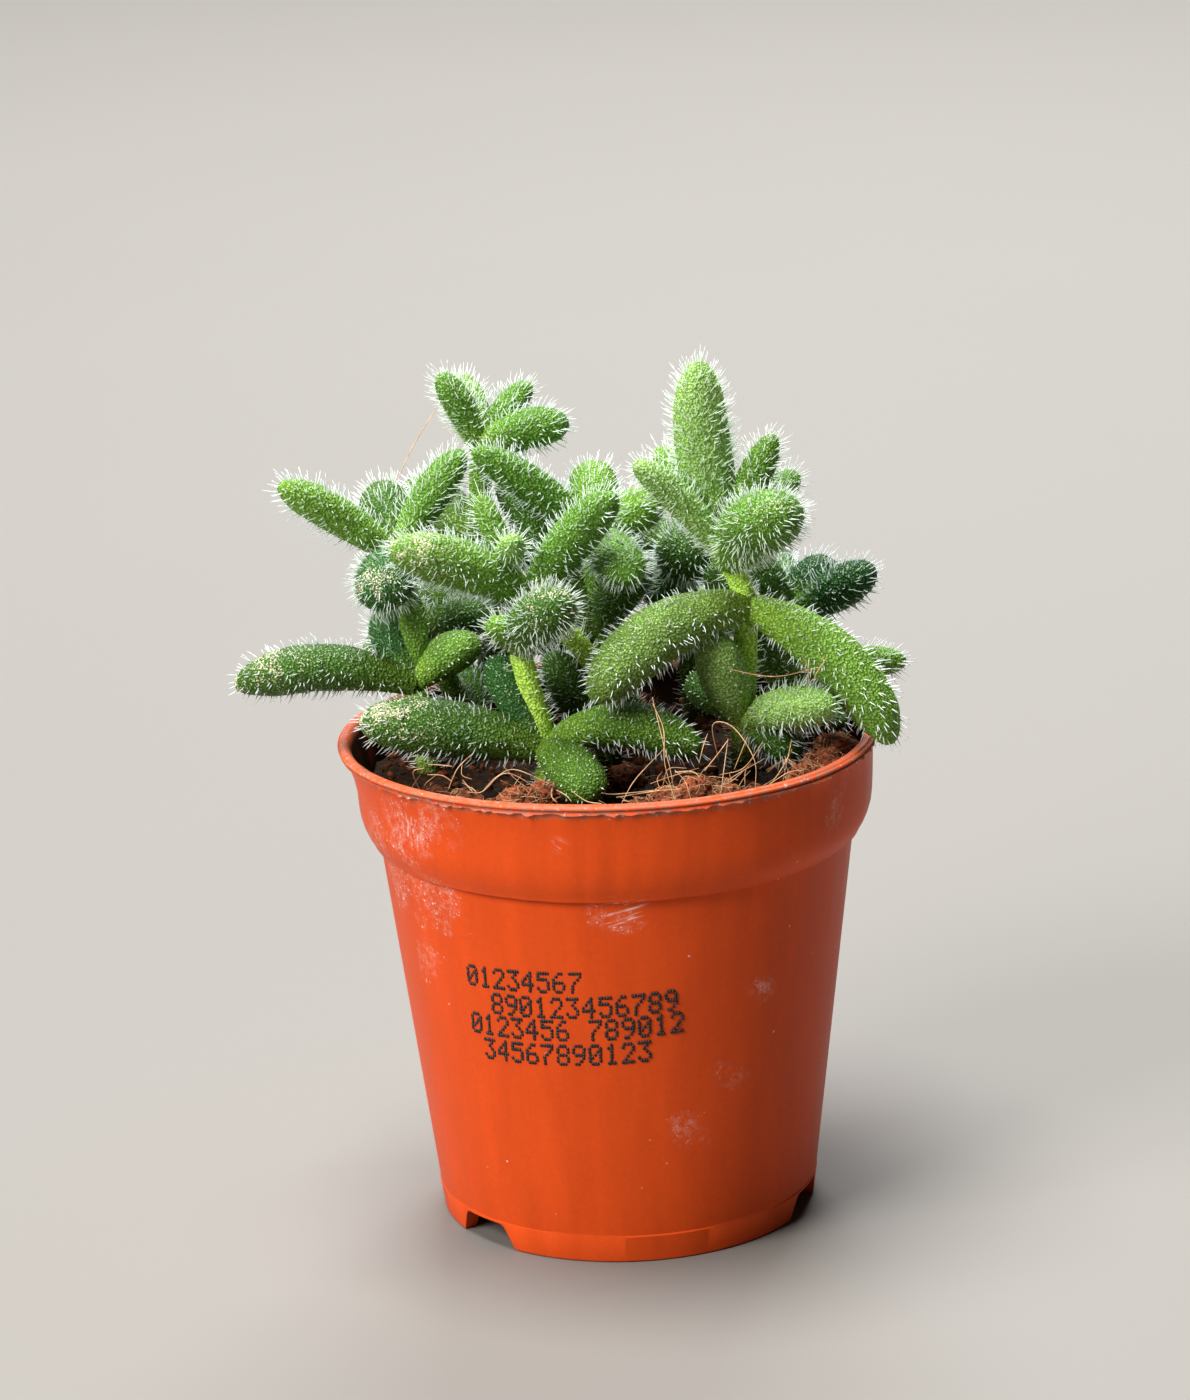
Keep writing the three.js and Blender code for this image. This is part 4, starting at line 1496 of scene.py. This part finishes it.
@dataclass
class Limb:
    """A stem or a leaf: a sampled centre line, the side that it is wide on and its girth."""

    line: np.ndarray
    side: np.ndarray
    girth: Callable[[np.ndarray], np.ndarray]
    flatness: float

    def __post_init__(self) -> None:
        """Measures the line and lays beads along it that stand for the limb's body."""
        self.stations = np.linspace(0, 1, len(self.line))
        self.slope = unit(np.gradient(self.line, axis=0))
        steps = np.linalg.norm(np.diff(self.line, axis=0), axis=1)
        self.length = float(steps.sum())
        beads = np.linspace(0, 1, 26)
        self.bead_centres = self.at(beads)
        self.bead_radii = self.girth(beads)

    def at(self, t: np.ndarray) -> np.ndarray:
        """Points of the centre line at shares of its length."""
        return np.stack([np.interp(t, self.stations, c) for c in self.line.T], axis=-1)

    def along(self, t: np.ndarray) -> np.ndarray:
        """Directions of the centre line at shares of its length."""
        return unit(np.stack([np.interp(t, self.stations, c) for c in self.slope.T], axis=-1))

    def skin(self, t: np.ndarray, angle: np.ndarray, swell: np.ndarray | float = 1.0) -> np.ndarray:
        """Points of the skin.

        Args:
            t: Shares of the length.
            angle: Angles round the limb, 0 on its upper side.
            swell: A factor on the girth.

        Returns:
            The points.
        """
        lift = unit(np.cross(self.side, self.along(t)))
        radius = self.girth(t) * swell
        wide = (radius * np.sin(angle))[..., None] * self.side
        high = (radius * self.flatness * np.cos(angle))[..., None] * lift
        return self.at(t) + wide + high

    def outward(self, t: np.ndarray, angle: np.ndarray) -> np.ndarray:
        """Outward directions of the skin.

        Args:
            t: Shares of the length.
            angle: Angles round the limb.

        Returns:
            The directions.
        """
        t = np.clip(t, 0.012, 0.985)
        step = 0.01
        run = self.skin(t + step, angle) - self.skin(t - step, angle)
        turn = self.skin(t, angle + step) - self.skin(t, angle - step)
        return unit(np.cross(turn, run))


def leaf_girth(t: np.ndarray) -> np.ndarray:
    """A leaf's girth, from 0 to 1: it swells from its root, then rounds off to its tip."""
    swell = np.sin(np.minimum(t / 0.58, 1) * (math.pi / 2))
    past = np.maximum(0, (t - 0.58) / 0.42)
    return (0.52 + 0.48 * swell) * np.sqrt(np.maximum(0, 1 - past**2.4))


def leaf_limb(root: np.ndarray, leaf: Leaf) -> Limb:
    """Lays out a leaf's limb from its root.

    Args:
        root: The stem point that it grows from.
        leaf: The leaf.

    Returns:
        The limb.
    """
    end = np.array(leaf.tip, float)
    along = unit(end - root)
    side = unit(np.cross(along, (0.0, 0.0, 1.0)))
    lift = np.cross(side, along)
    bow = (root + end) / 2 + 2 * leaf.arch * lift
    t = np.linspace(0, 1, 97)[:, None]
    line = (1 - t) ** 2 * root + 2 * t * (1 - t) * bow + t**2 * end
    half = leaf.width / 2
    return Limb(line, side, lambda share: leaf_girth(share) * half, 0.86)


@dataclass
class Shoot:
    """One leafy shoot: its stem, its leaves and all their bristles."""

    name: str
    slot: str
    stem: tuple[Point, ...]
    stem_tones: tuple[LeafTone, LeafTone]
    leaves: tuple[Leaf, ...]
    stem_radius: float = 1.4
    stem_foot: float = 46.0

    def __post_init__(self) -> None:
        """Lays out the limbs."""
        x, y, _ = self.stem[0]
        knots = np.array(((x, y, self.stem_foot), *self.stem))
        line = smooth_path(knots, 97)
        radius = self.stem_radius
        girth = lambda t: radius * (1 - 0.15 * t) * smooth_step(1.0, 0.965, t) ** 0.5
        self.stem_limb = Limb(line, np.array((1.0, 0.0, 0.0)), girth, 1.0)
        self.leaf_limbs = [
            leaf_limb(np.array(self.stem[leaf.node], float), leaf) for leaf in self.leaves
        ]

    @property
    def limbs(self) -> list[Limb]:
        """The stem's limb, then the leaves' limbs."""
        return [self.stem_limb, *self.leaf_limbs]

    def stem_tone(self, t: np.ndarray) -> np.ndarray:
        """The stem's colour at shares of its length, doubled, partly as painted light on stems in
        shade.
        """
        low, high = (np.array(tone.value) for tone in self.stem_tones)
        share = smooth_step(0.3, 0.75, t)[..., None]
        earthy = 0.3 + 0.7 * smooth_step(0.1, 0.4, t)[..., None]
        # The factor of 2 is partly painted light: it lifts stems in shade above their own colour.
        return 2.0 * blend(high, low, share) * earthy

    def leaf_tone(self, leaf: Leaf, t: np.ndarray) -> np.ndarray:
        """A leaf's colour at shares of its length, yellower at its root."""
        tone = np.array(leaf.tone.value)
        root = 0.35 * np.array(LeafTone.LIME.value) + 0.65 * tone * (1.25, 1.2, 0.7)
        share = smooth_step(0.04, 0.46, t)[..., None]
        return blend(tone, root, share)

    def build(self, maker: "ShootMaker") -> bpy.types.Object:
        """Models the shoot.

        Args:
            maker: Holds the patterns, materials and neighbours.

        Returns:
            The shoot as one piece.
        """
        batch = MeshBatch()
        draw = np.random.default_rng(SEED + sum(map(ord, self.name)))
        maker.add_skin(batch, self.stem_limb, self.stem_tone, None, draw)
        maker.add_bristles(batch, self.stem_limb, LeafAge.STEM.value, self.stem_tone, 0.0, draw)
        for leaf, limb in zip(self.leaves, self.leaf_limbs):
            tone = lambda t, leaf=leaf: self.leaf_tone(leaf, t)
            maker.add_skin(batch, limb, tone, leaf, draw)
            maker.add_bristles(batch, limb, leaf.age.value, tone, leaf.crust, draw)
        piece = batch.build(self.name + "_grown", maker.skin, maker.bristle)
        return hand_over(piece, self.slot, self.name)


class ShootMaker:
    """Holds what all shoots share: patterns, materials and where every limb lies."""

    thorn_section = ((1.25, -0.12), (0.85, 0.08), (0.5, 0.3), (0.36, 0.66), (0.06, 1.0))
    mix_edge, mix_level = 26.3, 47.8
    rim_inside, rim_outside, rim_level = 25.9, 28.0, 52.2
    tip_gap, middle_gap = 0.05, 0.02

    def __init__(
        self, shoots: Sequence[Shoot], skin: bpy.types.Material, bristle: bpy.types.Material
    ) -> None:
        """Models the patterns and notes where the limbs lie.

        Args:
            shoots: All shoots.
            skin: The material of leaves and stems.
            bristle: The material of bristles.
        """
        self.skin = skin
        self.bristle = bristle
        limbs = [limb for shoot in shoots for limb in shoot.limbs]
        self.bead_centres = np.concatenate([limb.bead_centres for limb in limbs])
        self.bead_radii = np.concatenate([limb.bead_radii for limb in limbs])
        self.bead_owners = np.concatenate(
            [np.full(len(limb.bead_radii), id(limb)) for limb in limbs]
        )
        self.pod = self.model_pod()
        self.thorn = self.model_thorn()

    def model_pod(self) -> Pattern:
        """Models the round pod that every leaf and stem is drawn out from."""
        return Pattern.take(
            add_primitive("uv_sphere", segments=26, ring_count=30, radius=1.0)
        )

    def model_thorn(self) -> Pattern:
        """Models one bristle: a slim cone on a swollen foot, one unit tall."""
        radius, height = self.thorn_section[0]
        thorn = add_primitive(
            "circle", vertices=4, radius=radius, fill_type="NOTHING", location=(0, 0, height)
        )
        bpy.ops.object.transform_apply(location=True, rotation=True, scale=True)
        bpy.ops.object.mode_set(mode="EDIT")
        bpy.ops.mesh.select_mode(type="VERT")
        bpy.ops.mesh.select_all(action="SELECT")
        extrude_rings(self.thorn_section)
        bpy.ops.mesh.merge(type="CENTER")
        face_outwards()
        return Pattern.take(thorn)

    def add_skin(
        self,
        batch: MeshBatch,
        limb: Limb,
        tone: Callable[[np.ndarray], np.ndarray],
        leaf: Leaf | None,
        draw: np.random.Generator,
    ) -> None:
        """Draws a pod out along a limb.

        Args:
            batch: Gets the skin.
            limb: The limb.
            tone: Its colour at shares of its length.
            leaf: The leaf, or nothing for a stem.
            draw: The seeded draw.
        """
        x, y, z = np.clip(self.pod.points, -1, 1).T
        around = np.arctan2(x, y)
        t = (1 - z) / 2 if leaf else np.arccos(z) / math.pi
        triangles = self.pod.triangles
        plain = limb.skin(t, around)
        lumps = rough(plain, 3.2, 2, draw.uniform(0, 50))
        points = limb.skin(t, around, 1 + 0.055 * lumps * smooth_step(0.0, 0.2, t))
        crust: np.ndarray | float = 0.0
        if leaf:
            end = smooth_step(0.5, 0.9, t) * (0.6 + 0.4 * np.cos(around))
            crust = leaf.crust * end * np.clip(0.8 + 0.9 * rough(plain, 2.2, 2, 4.0), 0, 1.3)
        batch.add(points, triangles, tone(t), crust, 0)

    def is_clear(self, limb: Limb, points: np.ndarray, gap: float) -> np.ndarray:
        """Tells which points keep clear of other limbs, the mix and the pot's rim.

        Args:
            limb: The limb that the points belong to.
            points: The points.
            gap: How far they keep clear.

        Returns:
            True where a point is clear.
        """
        others = self.bead_owners != id(limb)
        centres, radii = self.bead_centres[others], self.bead_radii[others]
        far = np.linalg.norm(points[:, None] - centres[None], axis=2) - radii[None]
        clear = far.min(axis=1) > gap
        radius = np.hypot(points[:, 0], points[:, 1])
        in_mix = (radius < self.mix_edge) & (points[:, 2] < self.mix_level)
        on_wall = (radius > self.rim_inside) & (radius < self.rim_outside)
        return clear & ~in_mix & ~(on_wall & (points[:, 2] < self.rim_level))

    def add_bristles(
        self,
        batch: MeshBatch,
        limb: Limb,
        coat: BristleCoat,
        tone: Callable[[np.ndarray], np.ndarray],
        crust: float,
        draw: np.random.Generator,
    ) -> None:
        """Plants bristles over a limb, evenly, in a spiral at the golden angle.

        Args:
            batch: Gets the bristles.
            limb: The limb.
            coat: How they stand.
            tone: The limb's colour at shares of its length.
            crust: How much residue the limb's tip carries.
            draw: The seeded draw.
        """
        fine = np.linspace(0.06, 1, 240)
        rim = 2 * math.pi * limb.girth(fine) * (1 + limb.flatness) / 2
        steps = np.linalg.norm(np.diff(limb.at(fine), axis=0), axis=1)
        steps = np.hypot(steps, np.diff(limb.girth(fine)))
        area = np.r_[0, np.cumsum((rim[1:] + rim[:-1]) / 2 * steps)]
        count = int(area[-1] * coat.per_mm2)
        share = (np.arange(count) + 0.5) / count
        t = np.interp(share * area[-1], area, fine)
        angle = np.arange(count) * GOLDEN_ANGLE + draw.normal(0, 0.2, count)
        t = np.clip(t + draw.normal(0, 0.012, count), 0.02, 0.998)
        foot = limb.skin(t, angle)
        outward = limb.outward(t, angle)
        along = limb.along(t)
        to_tip = smooth_step(0.95, 1.0, t)[:, None]
        outward = unit(outward * (1 - 0.6 * to_tip) + along * 0.6 * to_tip)
        keep = draw.random(count) < np.where(
            outward[:, 2] > 0.25, coat.top_share + (1 - coat.top_share) * smooth_step(0.7, 0.95, t), 1
        )
        lean = coat.lean * draw.uniform(0.5, 1.3, count)[:, None]
        way = unit(outward + lean * along + draw.normal(0, 0.2, (count, 3)))
        length = coat.length * draw.uniform(0.5, 1.25, count) * (1 - 0.25 * smooth_step(0.3, 0.0, t))
        tip = foot + way * length[:, None]
        keep &= self.is_clear(limb, tip, self.tip_gap)
        keep &= self.is_clear(limb, (foot + tip) / 2, self.middle_gap)
        foot, way, length, t = foot[keep], way[keep], length[keep], t[keep]
        along, count = along[keep], int(keep.sum())
        if not count:
            return
        radius = coat.radius * draw.uniform(0.8, 1.2, count)
        across = unit(np.cross(way, along) + 1e-4)
        other = np.cross(way, across)
        shape = self.thorn.points
        x, y, z = shape.T
        bend = (0.22 * draw.uniform(0.2, 1.6, count))[:, None] * np.maximum(z, 0)[None] ** 2
        points = (
            foot[:, None]
            + way[:, None] * (z[None] * length[:, None])[..., None]
            + along[:, None] * (bend * length[:, None])[..., None]
            + across[:, None] * (x[None] * radius[:, None])[..., None]
            + other[:, None] * (y[None] * radius[:, None])[..., None]
        )
        white = np.array(coat.frost) * (1 - 0.12 * crust * smooth_step(0.6, 0.9, t))[:, None]
        base = tone(t)
        rise = smooth_step(-0.1, 0.42, z)[None, :, None]
        colours = base[:, None] * 1.35 * (1 - rise) + white[:, None] * rise
        step = np.arange(count)[:, None, None] * len(shape)
        triangles = (self.thorn.triangles[None] + step).reshape(-1, 3)
        batch.add(points.reshape(-1, 3), triangles, colours.reshape(-1, 3), 0.0, 1)


Y, G, O, S = LeafAge.YOUNG, LeafAge.GROWN, LeafAge.OLD, LeafAge.SMOOTH
PALE, FRESH, GRASS, DEEP = LeafTone.PALE, LeafTone.FRESH, LeafTone.GRASS, LeafTone.DEEP
BLUE, LIME, OLIVE = LeafTone.BLUE, LeafTone.LIME, LeafTone.OLIVE
MEADOW, DARK, MOSS = LeafTone.MEADOW, LeafTone.DARK, LeafTone.MOSS

SHOOTS: tuple[Shoot, ...] = (
    Shoot(
        "shoot_tall_right",
        "leaf_fresh_green",
        ((13.5, -3.5, 49), (13.5, -3.5, 53.5), (14, -3.5, 65.5), (12.5, -3.5, 70.5)),
        (OLIVE, LIME),
        (
            Leaf(3, (10, -1, 91), 6.2, -1.2, Y, PALE),
            # Painted light: the pale tone makes this leaf look lit where it lies in shade.
            Leaf(3, (3, -7, 82), 3.9, 0.8, Y, PALE),
            Leaf(3, (17.6, -2.4, 83.3), 4.2, 0.6, Y, GRASS),
            Leaf(3, (18.3, -14, 77.7), 7.6, 1.2, Y, MEADOW, 0.4),
            Leaf(3, (20, 4, 77.5), 4.2, 0.8, Y, MEADOW),
            Leaf(3, (5.5, 3, 81), 4.2, 0.6, Y, FRESH),
            Leaf(2, (-2, -14, 59), 7, 2.6, O, MOSS),
            Leaf(2, (28.5, -9, 51.8), 6.5, 2.7, O, FRESH),
            Leaf(1, (22.5, -12, 57), 5.2, 0.4, G, PALE),
            # Painted light: the pale tone makes this leaf look lit where it lies in shade.
            Leaf(1, (10.4, -7, 64), 5.4, -0.6, S, PALE),
            Leaf(1, (19, -6, 49.8), 4.6, 0.5, G, DEEP),
            Leaf(1, (8.5, 4.5, 55), 5, 0.8, S, DEEP),
        ),
    ),
    Shoot(
        "shoot_right",
        "leaf_blue_green",
        ((17.5, 8, 49), (18.5, 8, 53), (19, 8, 61.5)),
        (OLIVE, GRASS),
        (
            # Painted shade: these two leaves take the dark tone because they lie in shade.
            Leaf(2, (28, 6, 66.6), 5.2, -0.2, G, DARK),
            Leaf(2, (24, 12, 65.3), 5.4, 0.8, G, DARK),
            Leaf(1, (31.5, 12, 54.5), 4.2, 1, G, FRESH),
            Leaf(1, (23.5, 26, 54.5), 5.4, 1.6, O, GRASS),
            Leaf(2, (17.5, 20, 64.5), 4.6, 0.8, G, DEEP),
            Leaf(1, (24, -0.5, 51.5), 4.2, 0.5, G, DEEP),
            Leaf(1, (10.5, 1.5, 68.5), 5, 0.5, G, DEEP),
            Leaf(2, (14.8, 7, 68.5), 4.2, 0.3, G, DEEP),
        ),
    ),
    Shoot(
        "shoot_front",
        "leaf_grass_green",
        ((-7, -7, 49.8), (-7, -8, 52.5), (-9.5, -8, 63.5)),
        (LIME, LIME),
        (
            Leaf(1, (-26, -10, 56.5), 6.9, 0.6, O, DEEP, 1.5),
            Leaf(1, (9, -12, 52.5), 5.4, 2.8, O, GRASS),
            Leaf(1, (-2.2, -18.3, 50.1), 5.6, 0.6, S, GRASS),
            Leaf(1, (-12.5, -5, 61.5), 5.2, 0.4, S, BLUE),
            Leaf(2, (-4.5, -17, 70.1), 6, 0.8, Y, DEEP, 0.9),
            Leaf(2, (-12, -12, 67), 3.2, 0.3, Y, FRESH),
        ),
    ),
    Shoot(
        "shoot_left",
        "leaf_grass_green",
        ((-19.5, 1, 49), (-20.5, 0, 57.5)),
        (OLIVE, LIME),
        (
            Leaf(1, (-39, -3, 58.8), 5.8, 1.9, O, DEEP, 1.2),
            Leaf(1, (-20.5, 3, 65.5), 3.2, 0.3, S, FRESH),
            Leaf(1, (-13.5, 2.5, 61), 5, 0.8, S, FRESH),
            Leaf(1, (-24, 5, 64), 5.2, 0.5, G, BLUE),
        ),
    ),
    Shoot(
        "shoot_middle",
        "leaf_fresh_green",
        ((-0.5, 1, 49), (-2, 0, 59), (-8, -3, 67), (-10.5, -3, 70)),
        (OLIVE, LIME),
        (
            Leaf(2, (-22, -11, 74.8), 6, 1, G, FRESH, 1.4),
            Leaf(2, (1, -8, 79), 5.4, 0.6, G, MEADOW),
            Leaf(3, (-13, -2, 78), 3, 0.3, Y, FRESH),
            Leaf(3, (-9.4, -9.3, 75), 3, 0.3, Y, PALE),
            Leaf(0, (-6.5, -1, 60.5), 5.4, 0.3, G, DEEP),
        ),
    ),
    Shoot(
        "shoot_upper_left",
        "leaf_deep_green",
        ((-14.5, 8, 49), (-20, 9.5, 61), (-22, 3, 70.5)),
        (OLIVE, GRASS),
        (
            Leaf(2, (-33.5, -1, 79.5), 4.6, 0.5, G, FRESH),
            Leaf(2, (-14.5, 7, 80.5), 4.4, 0.5, Y, MEADOW),
            Leaf(2, (-23.6, -6, 67.9), 6.2, 0.4, Y, BLUE, 1.2),
            Leaf(2, (-23.5, 11, 76), 5.6, 0.5, Y, DEEP),
            Leaf(1, (-26, 20, 65), 5.2, 1, G, GRASS),
            Leaf(1, (-25.5, 14, 55), 5, 1, G, GRASS),
            Leaf(1, (-12.5, 7.5, 62.5), 4.4, 0.3, G, DEEP),
            Leaf(0, (-16.5, 16.5, 54.5), 5, 0.6, G, DEEP),
        ),
    ),
    Shoot(
        "shoot_back_left",
        "leaf_fresh_green",
        ((-8.5, 16, 49), (-10.5, 17, 58), (-13, 16, 67), (-13, 15, 79)),
        (OLIVE, GRASS),
        (
            Leaf(3, (-17, 15, 87), 3.8, 0.3, Y, MEADOW),
            Leaf(3, (-7.5, 20, 84.5), 3.4, 0.3, Y, MEADOW),
            Leaf(3, (-3.5, 13, 81.5), 5, 0.6, G, MEADOW),
            Leaf(1, (-24, 25, 59), 6.2, 1.6, O, GRASS),
            Leaf(1, (-2, 31, 55.5), 6.4, 2, O, GRASS),
            Leaf(2, (-21, 27, 72), 5.6, 1, G, GRASS),
            Leaf(3, (-15.5, 25, 84), 4.6, 0.6, Y, FRESH),
            Leaf(2, (-4.5, 19.5, 65), 5, 0.8, G, GRASS),
            Leaf(1, (-12.5, 21, 51), 4.6, 1, G, DEEP),
        ),
    ),
    Shoot(
        "shoot_back_middle",
        "leaf_grass_green",
        ((3, 9, 49), (-1, 8, 60.5), (-1.5, 7, 71)),
        (OLIVE, GRASS),
        (
            Leaf(2, (-13.5, 3, 81.5), 4.4, 0.6, G, MEADOW),
            Leaf(2, (6.2, 5, 74.6), 5.4, 0.6, G, FRESH),
            Leaf(2, (-1, 16, 76), 5.4, 0.6, G, FRESH),
            Leaf(2, (2.5, -7, 70), 5.2, 0.4, Y, MEADOW),
            Leaf(1, (-9, 9, 58.5), 5, 0.8, G, DEEP),
            Leaf(1, (-0.5, 17, 57.5), 4.6, 0.4, G, GRASS),
            Leaf(1, (-11, 10.5, 77), 5.6, 0.5, G, DEEP),
            Leaf(1, (3.8, 2, 69), 5, 0.4, G, DEEP),
        ),
    ),
    Shoot(
        "shoot_back_right",
        "leaf_deep_green",
        ((9, 17, 49), (8.5, 16, 57), (8.5, 16, 65)),
        (OLIVE, GRASS),
        (
            Leaf(2, (8.5, 6.5, 68.5), 6.8, 0.6, G, DEEP),
            Leaf(2, (19.5, 26, 72), 5.2, 0.8, G, GRASS),
            Leaf(2, (-1, 23, 70), 5.4, 0.8, G, GRASS),
            Leaf(1, (14, 33, 53.5), 6.4, 2, O, GRASS),
            Leaf(2, (9.5, 21, 75), 4, 0.3, Y, FRESH),
            Leaf(1, (3, 24, 51.5), 5, 1.4, G, DEEP),
            Leaf(2, (3.6, 12, 62.5), 5.6, 0.4, G, DEEP),
        ),
    ),
)


# Stage


@dataclass
class Studio:
    """The plain floor, the soft light and the camera."""

    camera_at: Point = (-1.79, -505.41, 205.09)
    pitch_down: float = 16.5365
    roll: float = -2.08
    lens: float = 130.0
    sensor_width: float = 36.0
    floor_tone: Colour = (0.175, 0.165, 0.15)
    floor_side: float = 30.0
    room_tone: Colour = (0.92, 0.88, 0.84)
    room_strength: float = 0.03
    lit_place: Point = (0.0, 0.0, 0.045)

    def camera(self) -> None:
        """Sets the camera as the photograph was taken."""
        data = bpy.data.cameras.new("camera")
        data.lens = self.lens
        data.sensor_width = self.sensor_width
        data.clip_start, data.clip_end = 0.02, 20.0
        camera = bpy.data.objects.new("camera", data)
        bpy.context.scene.collection.objects.link(camera)
        place = Matrix.Translation((np.array(self.camera_at) + POT_AXIS) * MM)
        tilt = Matrix.Rotation(math.radians(90 - self.pitch_down), 4, "X")
        camera.matrix_world = place @ tilt @ Matrix.Rotation(math.radians(self.roll), 4, "Z")
        bpy.context.scene.camera = camera

    def floor(self) -> None:
        """Lays the plain pale floor."""
        floor = add_primitive("plane", size=self.floor_side)
        floor.name = "floor"
        material, bench, shader = start_material("floor_paint")
        place = bench.place()
        cloud = bench.cloud(place, 9.0, 3.0)
        dark = tuple(value * 0.97 for value in self.floor_tone)
        bench.feed(
            shader,
            {"Base Color": bench.mix(cloud, dark, self.floor_tone), "Roughness": 0.75},
        )
        floor.data.materials.append(material)

    def lamp(self, name: str, at: Point, size: float, power: float, colour: Colour) -> None:
        """Hangs a soft square lamp that points at the plant.

        Args:
            name: Its name.
            at: Its place in metres.
            size: Its side in metres.
            power: Its power in watts.
            colour: Its colour.
        """
        data = bpy.data.lights.new(name, "AREA")
        data.size = size
        data.energy = power
        data.color = colour
        self.aim(data, at)

    def daylight(self, at: Point, spread: float, strength: float) -> None:
        """Spreads even, soft light from above, as a wide window does.

        Args:
            at: A place that it comes from, in metres.
            spread: How wide the sky is that gives it, in degrees.
            strength: Its strength in watts on a square metre.
        """
        data = bpy.data.lights.new("sky", "SUN")
        data.angle = math.radians(spread)
        data.energy = strength
        self.aim(data, at)

    def aim(self, data: bpy.types.Light, at: Point) -> None:
        """Puts a lamp at its place and points it at the plant.

        Args:
            data: The lamp's light.
            at: Its place in metres.
        """
        lamp = bpy.data.objects.new(data.name, data)
        bpy.context.scene.collection.objects.link(lamp)
        lamp.location = at
        away = Vector(self.lit_place) - Vector(at)
        lamp.rotation_euler = away.to_track_quat("-Z", "Y").to_euler()

    def lights(self) -> None:
        """Hangs the lamps and sets the room's light."""
        self.lamp("key", (-0.70, -0.60, 0.70), 0.5, 16.0, (1.0, 0.97, 0.93))
        self.lamp("back", (0.1, 0.75, 0.7), 0.5, 9.0, (0.95, 0.98, 1.0))
        self.daylight((-0.15, 0.05, 1.2), 33.0, 6.4)
        world = bpy.data.worlds.new("room")
        world.use_nodes = True
        back = world.node_tree.nodes["Background"]
        back.inputs["Color"].default_value = (*self.room_tone, 1)
        back.inputs["Strength"].default_value = self.room_strength
        scene = bpy.context.scene
        scene.world = world
        scene.view_settings.view_transform = "Standard"

    def set_up(self) -> None:
        """Sets camera, floor and light."""
        self.camera()
        self.floor()
        self.lights()


def main() -> None:
    """Builds the stage, the pot, the mix and the shoots, in that order."""
    logging.basicConfig(level=logging.INFO, format="%(name)s %(message)s")
    Studio().set_up()
    effects = SharedEffects()
    pot = MouldedPot()
    pot.build(PotPlastic().build(effects))
    StampedDigits().build(pot, StampInk().build(effects))
    mix = GrowingMix()
    mix.mass(pot, PEAT.build(effects))
    mix.scatter(COIR.build(effects))
    mix.fibres(STRAW.build(effects))
    maker = ShootMaker(SHOOTS, LeafSkin().build(effects), BristleFinish().build(effects))
    for shoot in SHOOTS:
        shoot.build(maker)


if __name__ == "__main__":
    main()
